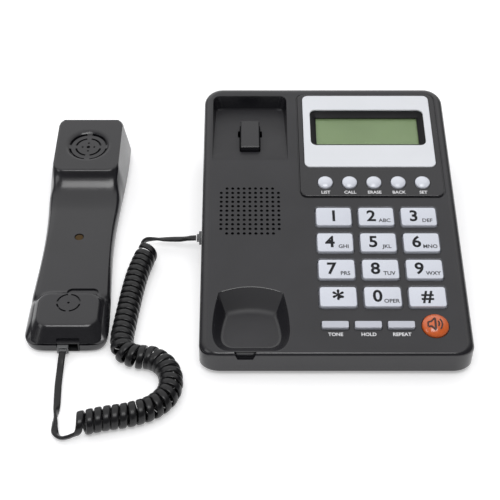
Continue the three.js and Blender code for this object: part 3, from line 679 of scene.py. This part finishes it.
def mouth_ring(share, out=0.0, sink=0.0):
    """Ring of the front rest, a share of the way from its rim on the deck to its floor: the wall
    falls evenly for three quarters of the way and then hollows out into the floor."""
    edge = grown(mouth, out)
    ring = edge * (1 - share) + mouth_floor_ring * share
    fallen = share if share < 0.75 else 1 - (1.2 - share) ** 2 / 0.81
    z = deck_height(edge[:, 1]) * (1 - fallen) + mouth_floor * fallen - sink
    return level(ring[:, 0] + cradle_x, ring[:, 1], z)


mouth_rows = [mouth_ring(0, 0.5 * MM), mouth_ring(0, 0.15 * MM, 0.13 * MM), mouth_ring(0.03, 0, 0.1 * MM),
              mouth_ring(0.4, 0, 0.2 * MM)] + [mouth_ring(share) for share in np.linspace(0.75, 1.2, 7)]
inner_floor = mouth * -0.2 + mouth_floor_ring * 1.2
mouth_points, mouth_faces, _ = band(mouth_rows)
column = np.arange(len(mouth_faces)) % len(mouth)
row = np.arange(len(mouth_faces)) // len(mouth)
on_ramp = (column < 18) & (row > 1)
cover_patches += [(mouth_points, mouth_faces[~on_ramp], 0), (mouth_points, mouth_faces[on_ramp], 1)]
cover_patches.append(flat(inner_floor + [cradle_x, 0], [], mouth_floor, 1, level))
mouth_edge = grown(mouth, 0.5 * MM)
deck_holes.append(np.stack([mouth_edge[:, 0] + cradle_x, up_slope(mouth_edge[:, 1])], 1))
cover_patches.append(flat(deck_edge, deck_holes, 0, 2))


def box_cutter(x0, x1, y0, y1, z0, z1, taper=0.0):
    """A plain block to cut with; a taper draws its lower end in along x."""
    high = np.array([(x0, y0), (x1, y0), (x1, y1), (x0, y1)])
    low = high + np.array([(1, 0), (-1, 0), (-1, 0), (1, 0)]) * taper
    return solid([level(*low.T, z0), level(*high.T, z1)])


def cut_with(body, patches):
    """The body with closed blocks cut out of it by a Boolean, applied to its mesh."""
    cutter = piece("cutter", patches, [], weighted=False)
    boolean = body.modifiers.new("cut", "BOOLEAN")
    boolean.operation = "DIFFERENCE"
    boolean.solver = "MANIFOLD"
    boolean.object = cutter
    graph = bpy.context.evaluated_depsgraph_get()
    applied = bpy.data.meshes.new_from_object(body.evaluated_get(graph))
    body.modifiers.clear()
    body.data = applied
    bpy.data.objects.remove(cutter)
    applied.shade_smooth()
    applied.set_sharp_from_angle(angle=math.radians(38))
    smooth = body.modifiers.new("smooth_shading", "WEIGHTED_NORMAL")
    smooth.keep_sharp = True


top_cover = piece("top_cover", cover_patches, [case_black, well_black, deck_black, frame_black_painted_shade],
                  weighted=False)
wall = top_cover.modifiers.new("wall", "SOLIDIFY")
wall.thickness = 1.0 * MM
wall.offset = -1
wall.use_even_offset = False
notch_x, notch_half = -56.3 * MM, 7.3 * MM
notch_low, notch_back, slot_y = 15.2 * MM, -108.4 * MM, 70 * MM
notch = box_cutter(notch_x - notch_half, notch_x + notch_half, -114 * MM, notch_back, notch_low,
                   21.5 * MM, 2.6 * MM)
slot_ears = box_cutter(cradle_x - 8.5 * MM, cradle_x + 8.5 * MM, slot_y - 3 * MM, slot_y + 4 * MM,
                       44 * MM, 48 * MM)
cord_opening = box_cutter(-90 * MM, -82 * MM, -7.5 * MM, 5.5 * MM, 9.1 * MM, 19.7 * MM)
line_opening = box_cutter(33.5 * MM, 46.5 * MM, 107 * MM, 116 * MM, 9.7 * MM, 20.3 * MM)
cut_with(top_cover, [notch, slot_ears, cord_opening, line_opening])
notch_liner = piece("notch_liner", [
    box_cutter(notch_x - 9 * MM, notch_x + 9 * MM, notch_back, notch_back + 0.7 * MM, 12 * MM, 19.9 * MM),
    box_cutter(notch_x - 9 * MM, notch_x + 9 * MM, -109.9 * MM, notch_back + 0.7 * MM, 13.5 * MM, notch_low)],
    [case_black], weighted=False)
stands_for(notch_liner, "case_black", "base")
stands_for(top_cover, "case_black", "base", "base_top_cover")

# ---- Bottom cover, screws and feet --------------------------------------------------------
# A flat moulded tray closes the base from below, held by four screws, and stands on four
# glued rubber feet.

inner_black = plastic("inner_black", (0.018, 0.018, 0.02), 0.55, grain=0.35, grain_size=0.4)
rubber = plastic("foot_rubber", (0.011, 0.011, 0.012), 0.85, grain=0.6, grain_size=0.5)
steel = plastic("screw_steel", (0.48, 0.49, 0.5), 0.34, grain=0.1, metallic=1.0, mottle=0.06)
finer("base_bottom_cover", "bottom_cover", inner_black, 0.3 * MM)
for place in ("front_left", "front_right", "rear_left", "rear_right"):
    finer(f"rubber_foot_{place}", f"foot_{place}", rubber, 0.3 * MM, 3)
    finer(f"case_screw_{place}", f"screw_{place}", steel, 0.15 * MM)

# ---- Display ------------------------------------------------------------------------------
# A silver-painted bezel pressed into its seat, a clear acrylic window under the drafted black
# frame, and the grey-green liquid crystal panel behind it.

silver = plastic("silver_paint", (0.78, 0.80, 0.84), 0.42, grain=0.02, grain_size=0.6, mottle=0.015)
bezel_low, bezel_top, bezel_edge = 0.6 * MM, 1.8 * MM, 0.4 * MM
bezel = rounded(bezel_width, bezel_length, 4 * MM, pod_x, bezel_s, 9)
bezel_window = rounded(window_width + 1 * MM, window_length + 1 * MM, 4.1 * MM, pod_x, window_s, 6)
bezel_profile = [(-out, bezel_top - bezel_edge + high) for out, high in
                 [(bezel_edge, bezel_edge), (0.17 * MM, 0.34 * MM), (0.05 * MM, 0.2 * MM), (0, 0)]]
display_bezel = piece("silver_bezel", [
    flat(grown(bezel, -bezel_edge), [grown(bezel_window, 0.3 * MM)], bezel_top),
    flat(bezel, [bezel_window], bezel_low),
    rim(bezel, bezel_profile + [(0, bezel_low)]),
    rim(bezel_window, [(out, high + bezel_top) for out, high in rounding(0.3 * MM)] + [(0, bezel_low)])],
    [silver])
stands_for(display_bezel, "silver_trim", "base", "display_bezel")


def clear(name, tint, haze):
    """Clear acrylic: what lies behind shows straight through, and more is reflected the flatter
    it is looked across; a faint haze and smudges in the gloss show its surface."""
    material = plastic(name, tint, 0.06, grain=0.02, grain_size=0.6, mottle=0.02)
    tree = material.node_tree
    facing = node(tree, "LayerWeight", {}).outputs["Facing"]
    steep = node(tree, "Math", {0: facing, 1: 3}, operation="POWER")
    share = node(tree, "Math", {0: steep.outputs["Value"], 1: 0.75, 2: haze}, operation="MULTIPLY_ADD")
    mixed = node(tree, "MixShader", {"Fac": share.outputs["Value"],
                                     1: node(tree, "BsdfTransparent", {}).outputs["BSDF"],
                                     2: tree.nodes["Principled BSDF"].outputs["BSDF"]})
    tree.links.new(mixed.outputs["Shader"], tree.nodes["Material Output"].inputs["Surface"])
    return material


def slab(outline, low, high, edge, paint=0, place=on_deck):
    """A flat slab with a rounded upper rim: its outline carried up the side and over the rim, and
    closed above and below."""
    pairs = [(0, low), (0, high - edge), (-0.3 * edge, high - 0.3 * edge), (-edge, high)]
    return solid([place(*grown(outline, out).T, level_at) for out, level_at in pairs], paint)


window_clear = clear("window_clear", (0.1, 0.1, 0.1), 0.02)
lens = piece("display_lens", [slab(rounded(81 * MM, 38 * MM, 1.5 * MM, pod_x, window_s, 4), -3.7 * MM,
                                   -2.7 * MM, 0.1 * MM)], [window_clear])
stands_for(lens, "lens_clear", "base", "display_window")

crystal = plastic("liquid_crystal", (0.24, 0.34, 0.165), 0.35, grain=0.02, mottle=0.06)
panel = piece("crystal_panel", [slab(rounded(79 * MM, 36 * MM, 0.8 * MM, pod_x, window_s, 3), -7 * MM,
                                     -4 * MM, 0.2 * MM)], [crystal])
stands_for(panel, "lcd_green", "base", "lcd_panel")

# ---- Digit keys ---------------------------------------------------------------------------
# Clear acrylic caps over white plates printed with the digit and its letters, standing on
# rubber domes under the cover and kept in by a flange.

cap_clear = clear("cap_clear", (0.6, 0.62, 0.68), 0.025)
plate_white = plastic("plate_white", (0.70, 0.725, 0.80), 0.4, grain=0.05, mottle=0.02)
print_black = plastic("print_black", (0.006, 0.006, 0.007), 0.5, grain=0.05, specular=0.08)
print_grey = plastic("print_grey", (0.04, 0.04, 0.045), 0.5, grain=0.05, specular=0.1)
print_white = plastic("print_white", (0.74, 0.74, 0.76), 0.5, grain=0.05, mottle=0.03)


def lettering(text, size, bold, x, s, above, paint=0):
    """Printed text, a thin raised layer of ink, centred on a place on the deck."""
    words = bpy.data.curves.new("lettering", "FONT")
    words.body = text
    words.size = size
    words.align_x = "CENTER"
    words.align_y = "CENTER"
    words.offset = bold
    words.extrude = 0.02 * MM
    words.resolution_u = 3
    carrier = bpy.data.objects.new("lettering", words)
    scene.collection.objects.link(carrier)
    graph = bpy.context.evaluated_depsgraph_get()
    drawn = bpy.data.meshes.new_from_object(carrier.evaluated_get(graph))
    points = np.zeros(len(drawn.vertices) * 3)
    drawn.vertices.foreach_get("co", points)
    faces = [list(face.vertices) for face in drawn.polygons]
    points = points.reshape(-1, 3)
    bpy.data.objects.remove(carrier)
    bpy.data.meshes.remove(drawn)
    return on_deck(x + points[:, 0], s + points[:, 1], above + points[:, 2]), faces, paint


cap_top, cap_edge, cap_radius = 3 * MM, 0.9 * MM, 2.2 * MM
flange_top, flange_low, flange_margin = -2.7 * MM, -4.2 * MM, 1.2 * MM
plate_top, plate_inset = 1.7 * MM, 0.5 * MM
digit_size, letter_size = 12.4 * MM, 4 * MM
letters_right, letters_down = 5.4 * MM, 3.4 * MM
star_size, star_down = 1.35, 2 * MM
legends = {"1": "", "2": "ABC", "3": "DEF", "4": "GHI", "5": "JKL", "6": "MNO", "7": "PRS", "8": "TUV",
           "9": "WXY", "star": "", "0": "OPER", "hash": ""}
for number, (digit, letters) in enumerate(legends.items()):
    x, s = key_columns[number % 3], key_rows[number // 3]
    cap_outline = rounded(key_width, key_length, cap_radius, x, s, 7)
    pairs = [(0, flange_top + 0.1 * MM), (0, cap_top - cap_edge)]
    pairs += [(-cap_edge * (1 - math.cos(a)), cap_top - cap_edge * (1 - math.sin(a)))
              for a in np.radians([18, 36, 54, 72, 90])]
    cap = piece(f"key_cap_{digit}", [solid([on_deck(*grown(cap_outline, out).T, high)
                                            for out, high in pairs])], [cap_clear])
    stands_for(cap, "key_clear", f"digit_key_{digit}", f"digit_key_{digit}")
    sign = {"star": "*", "hash": "#"}.get(digit, digit)
    aside = -3.3 * MM if letters else 0
    patches = [slab(rounded(key_width - 2 * plate_inset, key_length - 2 * plate_inset, 1.7 * MM, x, s, 5),
                    flange_top + 0.3 * MM, plate_top, 0.3 * MM),
               slab(rounded(key_width + 2 * flange_margin, key_length + 2 * flange_margin, 1.5 * MM, x, s, 4),
                    flange_low, flange_top, 0.2 * MM),
               lettering(sign, digit_size * (star_size if digit == "star" else 1), 0.3 * MM, x + aside,
                         s - (star_down if digit == "star" else 0), plate_top + 0.03 * MM, 1)]
    if letters:
        patches.append(lettering(letters, letter_size, 0.08 * MM, x + letters_right, s - letters_down,
                                 plate_top + 0.03 * MM, 2))
    plate = piece(f"key_plate_{digit}", patches, [plate_white, print_black, print_grey], weighted=False)
    stands_for(plate, "button_white", f"digit_key_{digit}")

# ---- Bar keys and round menu buttons ------------------------------------------------------
# Glossy white moulded buttons: three flat bars, and five small domes in the display pod.

button_white = plastic("button_white", (0.72, 0.745, 0.82), 0.16, grain=0.03, coat=0.5, mottle=0.02)
bar_white = plastic("bar_white", (0.52, 0.535, 0.60), 0.2, grain=0.03, coat=0.4, mottle=0.02)
for name, x in zip(("ring_key", "flash_key", "redial_key"), bar_columns):
    bar = piece(f"bar_{name}", [
        slab(rounded(bar_width, bar_length, 1 * MM, x, bar_s, 5), flange_top - 0.5 * MM, 2 * MM, 0.6 * MM),
        slab(rounded(bar_width + 2 * flange_margin, bar_length + 2 * flange_margin, 1 * MM, x, bar_s, 3),
             flange_low, flange_top, 0.2 * MM)], [bar_white])
    stands_for(bar, "button_white", name, name)


def dome(radius, x, s, rim_height, crown, sides, paint=0):
    """A turned button: a flange, an upright side, a small rounded rim and a parabolic crown."""
    share = np.linspace(0.93, 0.02, 9)
    crown_heights = rim_height + (crown - rim_height) * (1 - share ** 2)
    profile = [(radius + flange_margin, flange_low), (radius + flange_margin, flange_top),
               (radius, flange_top), (radius, rim_height - 0.3 * MM),
               (radius * 0.985, rim_height - 0.02 * MM)]
    profile += list(zip(radius * share, crown_heights))
    return solid([on_deck(*circle(r, x, s, sides).T, high) for r, high in profile], paint)


for number, x in enumerate(round_columns, 1):
    button = piece(f"round_button_{number}", [dome(round_radius, x, round_s, pod_rise + 1 * MM,
                                                   pod_rise + 2.8 * MM, 32)], [button_white])
    stands_for(button, "button_white", f"menu_button_{number}", f"menu_button_{number}")

# ---- Loudspeaker button -------------------------------------------------------------------
# A larger orange dome with a raised loudspeaker sign printed dark.

button_orange = plastic("button_orange", (0.62, 0.115, 0.022), 0.2, grain=0.03, coat=0.5, mottle=0.05)
print_brown = plastic("print_brown", (0.05, 0.012, 0.006), 0.45, grain=0.05)
orange_rim, orange_crown = 1 * MM, 4.2 * MM


def on_orange(line, lift):
    """Points given about the button's middle, laid on its crown."""
    height = orange_rim + (orange_crown - orange_rim) * (1 - (line ** 2).sum(1) / orange_radius ** 2)
    return on_deck(orange_x + line[:, 0], orange_s + line[:, 1], height + lift)


def sign_line(line, half_width):
    centre = on_orange(line, 0.05 * MM)
    upward = np.broadcast_to([0, -math.sin(deck_tilt), math.cos(deck_tilt)], centre.shape)
    points, faces, _ = tape(centre, upward, half_width, 0.16 * MM, 8)
    return points, faces, 1


speaker_sign = evenly(np.array([(-4.8, -2.2), (-4.8, 1.0), (-2.9, 1.0), (-0.5, 3.6), (-0.5, -4.8),
                                (-2.9, -2.2), (-4.7, -2.2)]) * MM, 40)
sign_patches = [sign_line(speaker_sign, 0.65 * MM)]
for reach in (2.0, 3.9):
    sweep = np.radians(np.linspace(-48, 48, 14))
    arc_line = np.stack([reach * np.cos(sweep) - 0.2, reach * np.sin(sweep) * 1.2 - 0.6], 1) * MM
    sign_patches.append(sign_line(arc_line, 0.55 * MM))
orange = piece("orange_button", [dome(orange_radius, orange_x, orange_s, orange_rim, orange_crown, 48),
                                 *sign_patches], [button_orange, print_brown], weighted=False)
stands_for(orange, "button_orange", "speaker_button", "speaker_button")

# ---- Printed words ------------------------------------------------------------------------
# Small white function words screen-printed under the buttons.

ink = 0.05 * MM
word_size, word_bold = 3.4 * MM, 0.09 * MM
words = [lettering(text, word_size, word_bold, x, 125.7 * MM, pod_rise + ink)
         for text, x in zip(("LIST", "CALL", "ERASE", "BACK", "SET"), round_columns)]
words += [lettering(text, word_size, word_bold, x, 14.4 * MM, ink)
          for text, x in zip(("TONE", "HOLD", "REPEAT"), bar_columns)]
printed = piece("printed_words", words, [print_white], weighted=False)
stands_for(printed, "button_white", "base")

# ---- Hook lever and sockets ---------------------------------------------------------------
# The black hook lever stands up through its slot in the rear rest; the sockets are moulded
# black blocks behind openings in the side and rear walls.

finer("hook_lever", "hook_plunger", case_black, 0.5 * MM, 3)
finer("handset_jack_base", "base_socket", inner_black, 0.2 * MM)
finer("line_jack", "line_socket", inner_black, 0.2 * MM)

# ---- Handset ------------------------------------------------------------------------------
# Two glossy black half shells that meet on a level seam, with a dished ear face, a flat
# grip and a raised mouth face, slots for the sound, one screw and a socket at the mouth end.

handset_x = base_x - 169.3 * MM
handset_low_y = -92.5 * MM
handset_length = 203.0
seam, seam_gap = 8.0, 0.12
mouth_end_half, waist_half, ear_end_half = 26.4, 23.7, 28.0
mouth_round, waist_v, ear_round, widening = 11.0, 90.0, 9.0, 94
ear_v, mouth_v, screw_v = 173.0, 28.0, 93.0


def ease(value):
    value = np.clip(value, 0, 1)
    return value * value * (3 - 2 * value)


def plan_half(v):
    """Half the outline's width at a distance from the mouth end: it narrows smoothly to the waist
    and widens again to the ear, and the ends are drawn in by their round corners."""
    v = np.asarray(v, float)
    narrowed = (waist_half - mouth_end_half) * ease((v - mouth_round) / (waist_v - mouth_round))
    widened = (ear_end_half - waist_half) * ease((v - waist_v) / widening)
    mouth_corner = mouth_round * (1 - np.sqrt(np.clip(v / mouth_round, 0, 1))) ** 2
    into_corner = np.clip(v - (handset_length - ear_round), 0, ear_round)
    ear_corner = ear_round - np.sqrt(ear_round ** 2 - into_corner ** 2)
    return mouth_end_half + narrowed + widened - mouth_corner - ear_corner


def box_distance(x, v, half, low, high, radius):
    """Distance outside a rectangle with round corners in the handset's plan, negative within."""
    out_x = np.abs(x) - (half - radius)
    out_v = np.abs(v - (low + high) / 2) - ((high - low) / 2 - radius)
    corner = np.hypot(np.maximum(out_x, 0), np.maximum(out_v, 0))
    return corner + np.minimum(np.maximum(out_x, out_v), 0) - radius


def higher(first, second, blend):
    """The larger of two heights, with a smooth hollow where they cross."""
    overlap = np.maximum(blend - np.abs(first - second), 0)
    return np.maximum(first, second) + overlap ** 2 / (4 * blend)


def place_on_handset(x, v, z):
    """Handset coordinates in millimetres: across, distance from the mouth end, height."""
    return np.stack(np.broadcast_arrays(handset_x + x * MM, handset_low_y + v * MM, z * MM), -1)


grip_height, mouth_height, ear_rise = 14.0, 17.5, 14.7
ear_face = (23.2, 146, 202.4, 8)
mouth_face = (18.9, 8.7, 36.5, 7)
mouth_crest, mouth_slope = 0.8, 1.08
grip_fade_v, grip_fade_length, grip_sink = 30, 9, 8
dish_depth, dish_radius, dish_rim = 2.1, 12.6, 3.6
foot_radius, foot_reach = 31.2, 26
foot = np.radians(np.linspace(49.6, 0, 14))
wall_out = np.concatenate([[-60, -0.7, -0.2, 0.3], foot_reach - foot_radius * np.sin(foot)])
wall_height = np.concatenate([[ear_rise, ear_rise, ear_rise - 0.12, ear_rise - 0.7],
                              foot_radius * (1 - np.cos(foot))])


def upper_face(x, v):
    """Height of the front shell's upper side: the grip is level, the ear block stands on a hollow
    foot and slopes up a little, the mouth block falls away evenly all round, and a dish with a
    soft rim is sunk into the ear face."""
    slope_up = 1 + 0.17 * np.clip((v - ear_face[1]) / (handset_length - ear_face[1]), 0, 1)
    ear_block = grip_height + slope_up * np.interp(box_distance(x, v, *ear_face), wall_out, wall_height)
    past = box_distance(x, v, *mouth_face) + mouth_crest
    fall = np.where(past < 2 * mouth_crest, np.maximum(past, 0) ** 2 / (4 * mouth_crest), past - mouth_crest)
    mouth_block = mouth_height - mouth_slope * fall
    grip = grip_height - grip_sink * (1 - ease((v - grip_fade_v) / grip_fade_length))
    height = np.where(v > screw_v, ear_block, higher(grip, mouth_block, 2.5))
    dish = dish_depth * (1 - ease((np.hypot(x, v - ear_v) - dish_radius) / dish_rim))
    return height - dish * (height > grip_height + 10)


quarter = np.radians(np.linspace(0, 90, 14))
mouth_end_v, end_run = 0.8, 6.8
stations = np.concatenate([mouth_end_v + 6 * np.linspace(0, 1, 10)[:-1] ** 2, np.arange(end_run, 196, 1.0),
                           handset_length - end_run * np.linspace(1, 0, 18) ** 2])[:, None]
wide = plan_half(stations)
face_run = np.array([(0, 22), (37, 22), (46, 21.3), (60, 20.9), (120, 19.8), (140, 21.5), (150, 23.2)])
top = np.minimum(np.interp(stations, *face_run.T), wide - 2.5)
seam_high, seam_low = seam + seam_gap, seam - seam_gap
end_share = np.sqrt(1 - np.clip((stations - 200.6) / 2.4, 0, 1) ** 2)
face_x = top * np.linspace(1, -1, 51)[None, 1:-1]
face_z = upper_face(face_x, stations)
edge_z = upper_face(top, stations)
straight = 0.55 * (1 - ease((stations - 34) / 8)) + 0.9 * ease((stations - 132) / 14)
even = quarter / quarter[-1]
side_x = wide - (wide - top) * ((1 - np.cos(quarter)) * (1 - straight) + even * straight)
side_z = seam_high + (edge_z - 0.25 - seam_high) * (np.sin(quarter) * (1 - straight) + even * straight)
section_x = np.hstack([side_x, face_x, -side_x[:, ::-1]])
section_z = np.hstack([side_z, face_z, side_z[:, ::-1]])
section_z = seam_high + (section_z - seam_high) * (0.15 + 0.85 * end_share)
handset_front = piece("handset_front", [solid(place_on_handset(section_x, stations, section_z))],
                      [case_black], weighted=False)


def handset_prism(outline, low, high):
    """A closed upright block to cut with."""
    return solid([place_on_handset(*outline.T, z) for z in (low, high)])


def pin_hole(x, v, radius, low, sides=20):
    """A closed round bar to cut a hole, open upwards."""
    return handset_prism(circle(radius, x, v, sides), low, clear_height)


def arc_slot(middle_v, radius, half_width, start, end, low):
    """A closed curved bar to cut a slot: a box section carried along an arc."""
    sweep = np.radians(np.linspace(start, end, 12))
    section = [(radius - half_width, low), (radius + half_width, low), (radius + half_width, clear_height),
               (radius - half_width, clear_height)]
    return solid(np.stack([place_on_handset(r * np.cos(sweep), middle_v + r * np.sin(sweep), z)
                           for r, z in section], 1))


clear_height, ear_low, mouth_low = 40, 25.6, 16
socket_cut = handset_prism(rounded(14.6, 12, 0.6, 1.6, 3, 3), 1.7, 9.5)
cutters = [pin_hole(0, ear_v, 1.3, ear_low), pin_hole(0, mouth_v, 0.8, mouth_low - 0.4),
           pin_hole(0, screw_v, 3.2, 12.1, 28), socket_cut,
           handset_prism(rounded(20.7, 7.6, 3.7, 7.6, 40.2, 6), 12.9, clear_height),
           handset_prism(rounded(14.6, 12, 0.6, 1.6, -2.8, 3), 9, 12.6)]
pin_ring = 4.2
slots = [(ear_v, 13.2, 0.75, 8, ear_low), (ear_v, 8.8, 0.7, 10, ear_low), (mouth_v, 7.3, 0.55, 8, mouth_low)]
for start in (0, 90, 180, 270):
    turn = math.radians(start)
    cutters.append(pin_hole(pin_ring * math.cos(turn), ear_v + pin_ring * math.sin(turn), 0.75, ear_low, 14))
    for middle_v, radius, half_width, gap, slot_low in slots:
        cutters.append(arc_slot(middle_v, radius, half_width, start + gap, start + 90 - gap, slot_low))
cut_with(handset_front, cutters)
stands_for(handset_front, "case_black", "handset", "handset_front_shell")

stations = np.concatenate([7 * np.linspace(0, 1, 10)[:-1] ** 2, np.arange(7, 183, 2.2),
                           handset_length - 20 * np.linspace(1, 0, 22) ** 1.6])[:, None]
wide = plan_half(stations)
bottom = np.where(stations < 5, 3 * (1 - stations / 5) ** 2,
                  seam_low * np.clip((stations - 187) / 16, 0, 1) ** 2.4)
bottom = np.minimum(bottom, seam_low - 1.5)
edge_in = np.minimum(5.5, wide * 0.4)
side_x = wide - edge_in * (1 - np.cos(quarter) ** 0.9)
side_z = seam_low - (seam_low - bottom) * np.sin(quarter)
section_x = np.hstack([side_x, -side_x[:, ::-1]])
section_z = np.hstack([side_z, side_z[:, ::-1]])
handset_back = piece("handset_back", [solid(place_on_handset(section_x, stations, section_z))],
                     [case_black], weighted=False)
cut_with(handset_back, [socket_cut])
stands_for(handset_back, "case_black", "handset", "handset_back_shell")
bronze = plastic("screw_bronze", (0.07, 0.045, 0.02), 0.4, grain=0.1, metallic=1.0, mottle=0.1)
finer("handset_screw", "grip_screw", bronze, 0.15 * MM)
finer("handset_jack", "handset_socket", inner_black, 0.2 * MM)

# ---- Pieces inside ------------------------------------------------------------------------
# Rubber membrane, circuit boards, loudspeaker and the small working parts, seen only when
# the covers are off.

silicone = plastic("membrane_silicone", (0.26, 0.27, 0.28), 0.75, grain=0.3)
board_green = plastic("board_green", (0.014, 0.1, 0.045), 0.42, grain=0.2, mottle=0.25)
inside = {"keypad_membrane": silicone, "keypad_board": board_green, "main_board": board_green,
          "loudspeaker": inner_black, "hook_pivot_pin": steel, "hook_switch": inner_black,
          "hook_spring": steel, "earpiece_receiver": inner_black, "microphone_capsule": steel,
          "handset_weight": steel}
for node, material in inside.items():
    mesh = frame["nodes"][node].data
    mesh.materials.clear()
    mesh.materials.append(material)
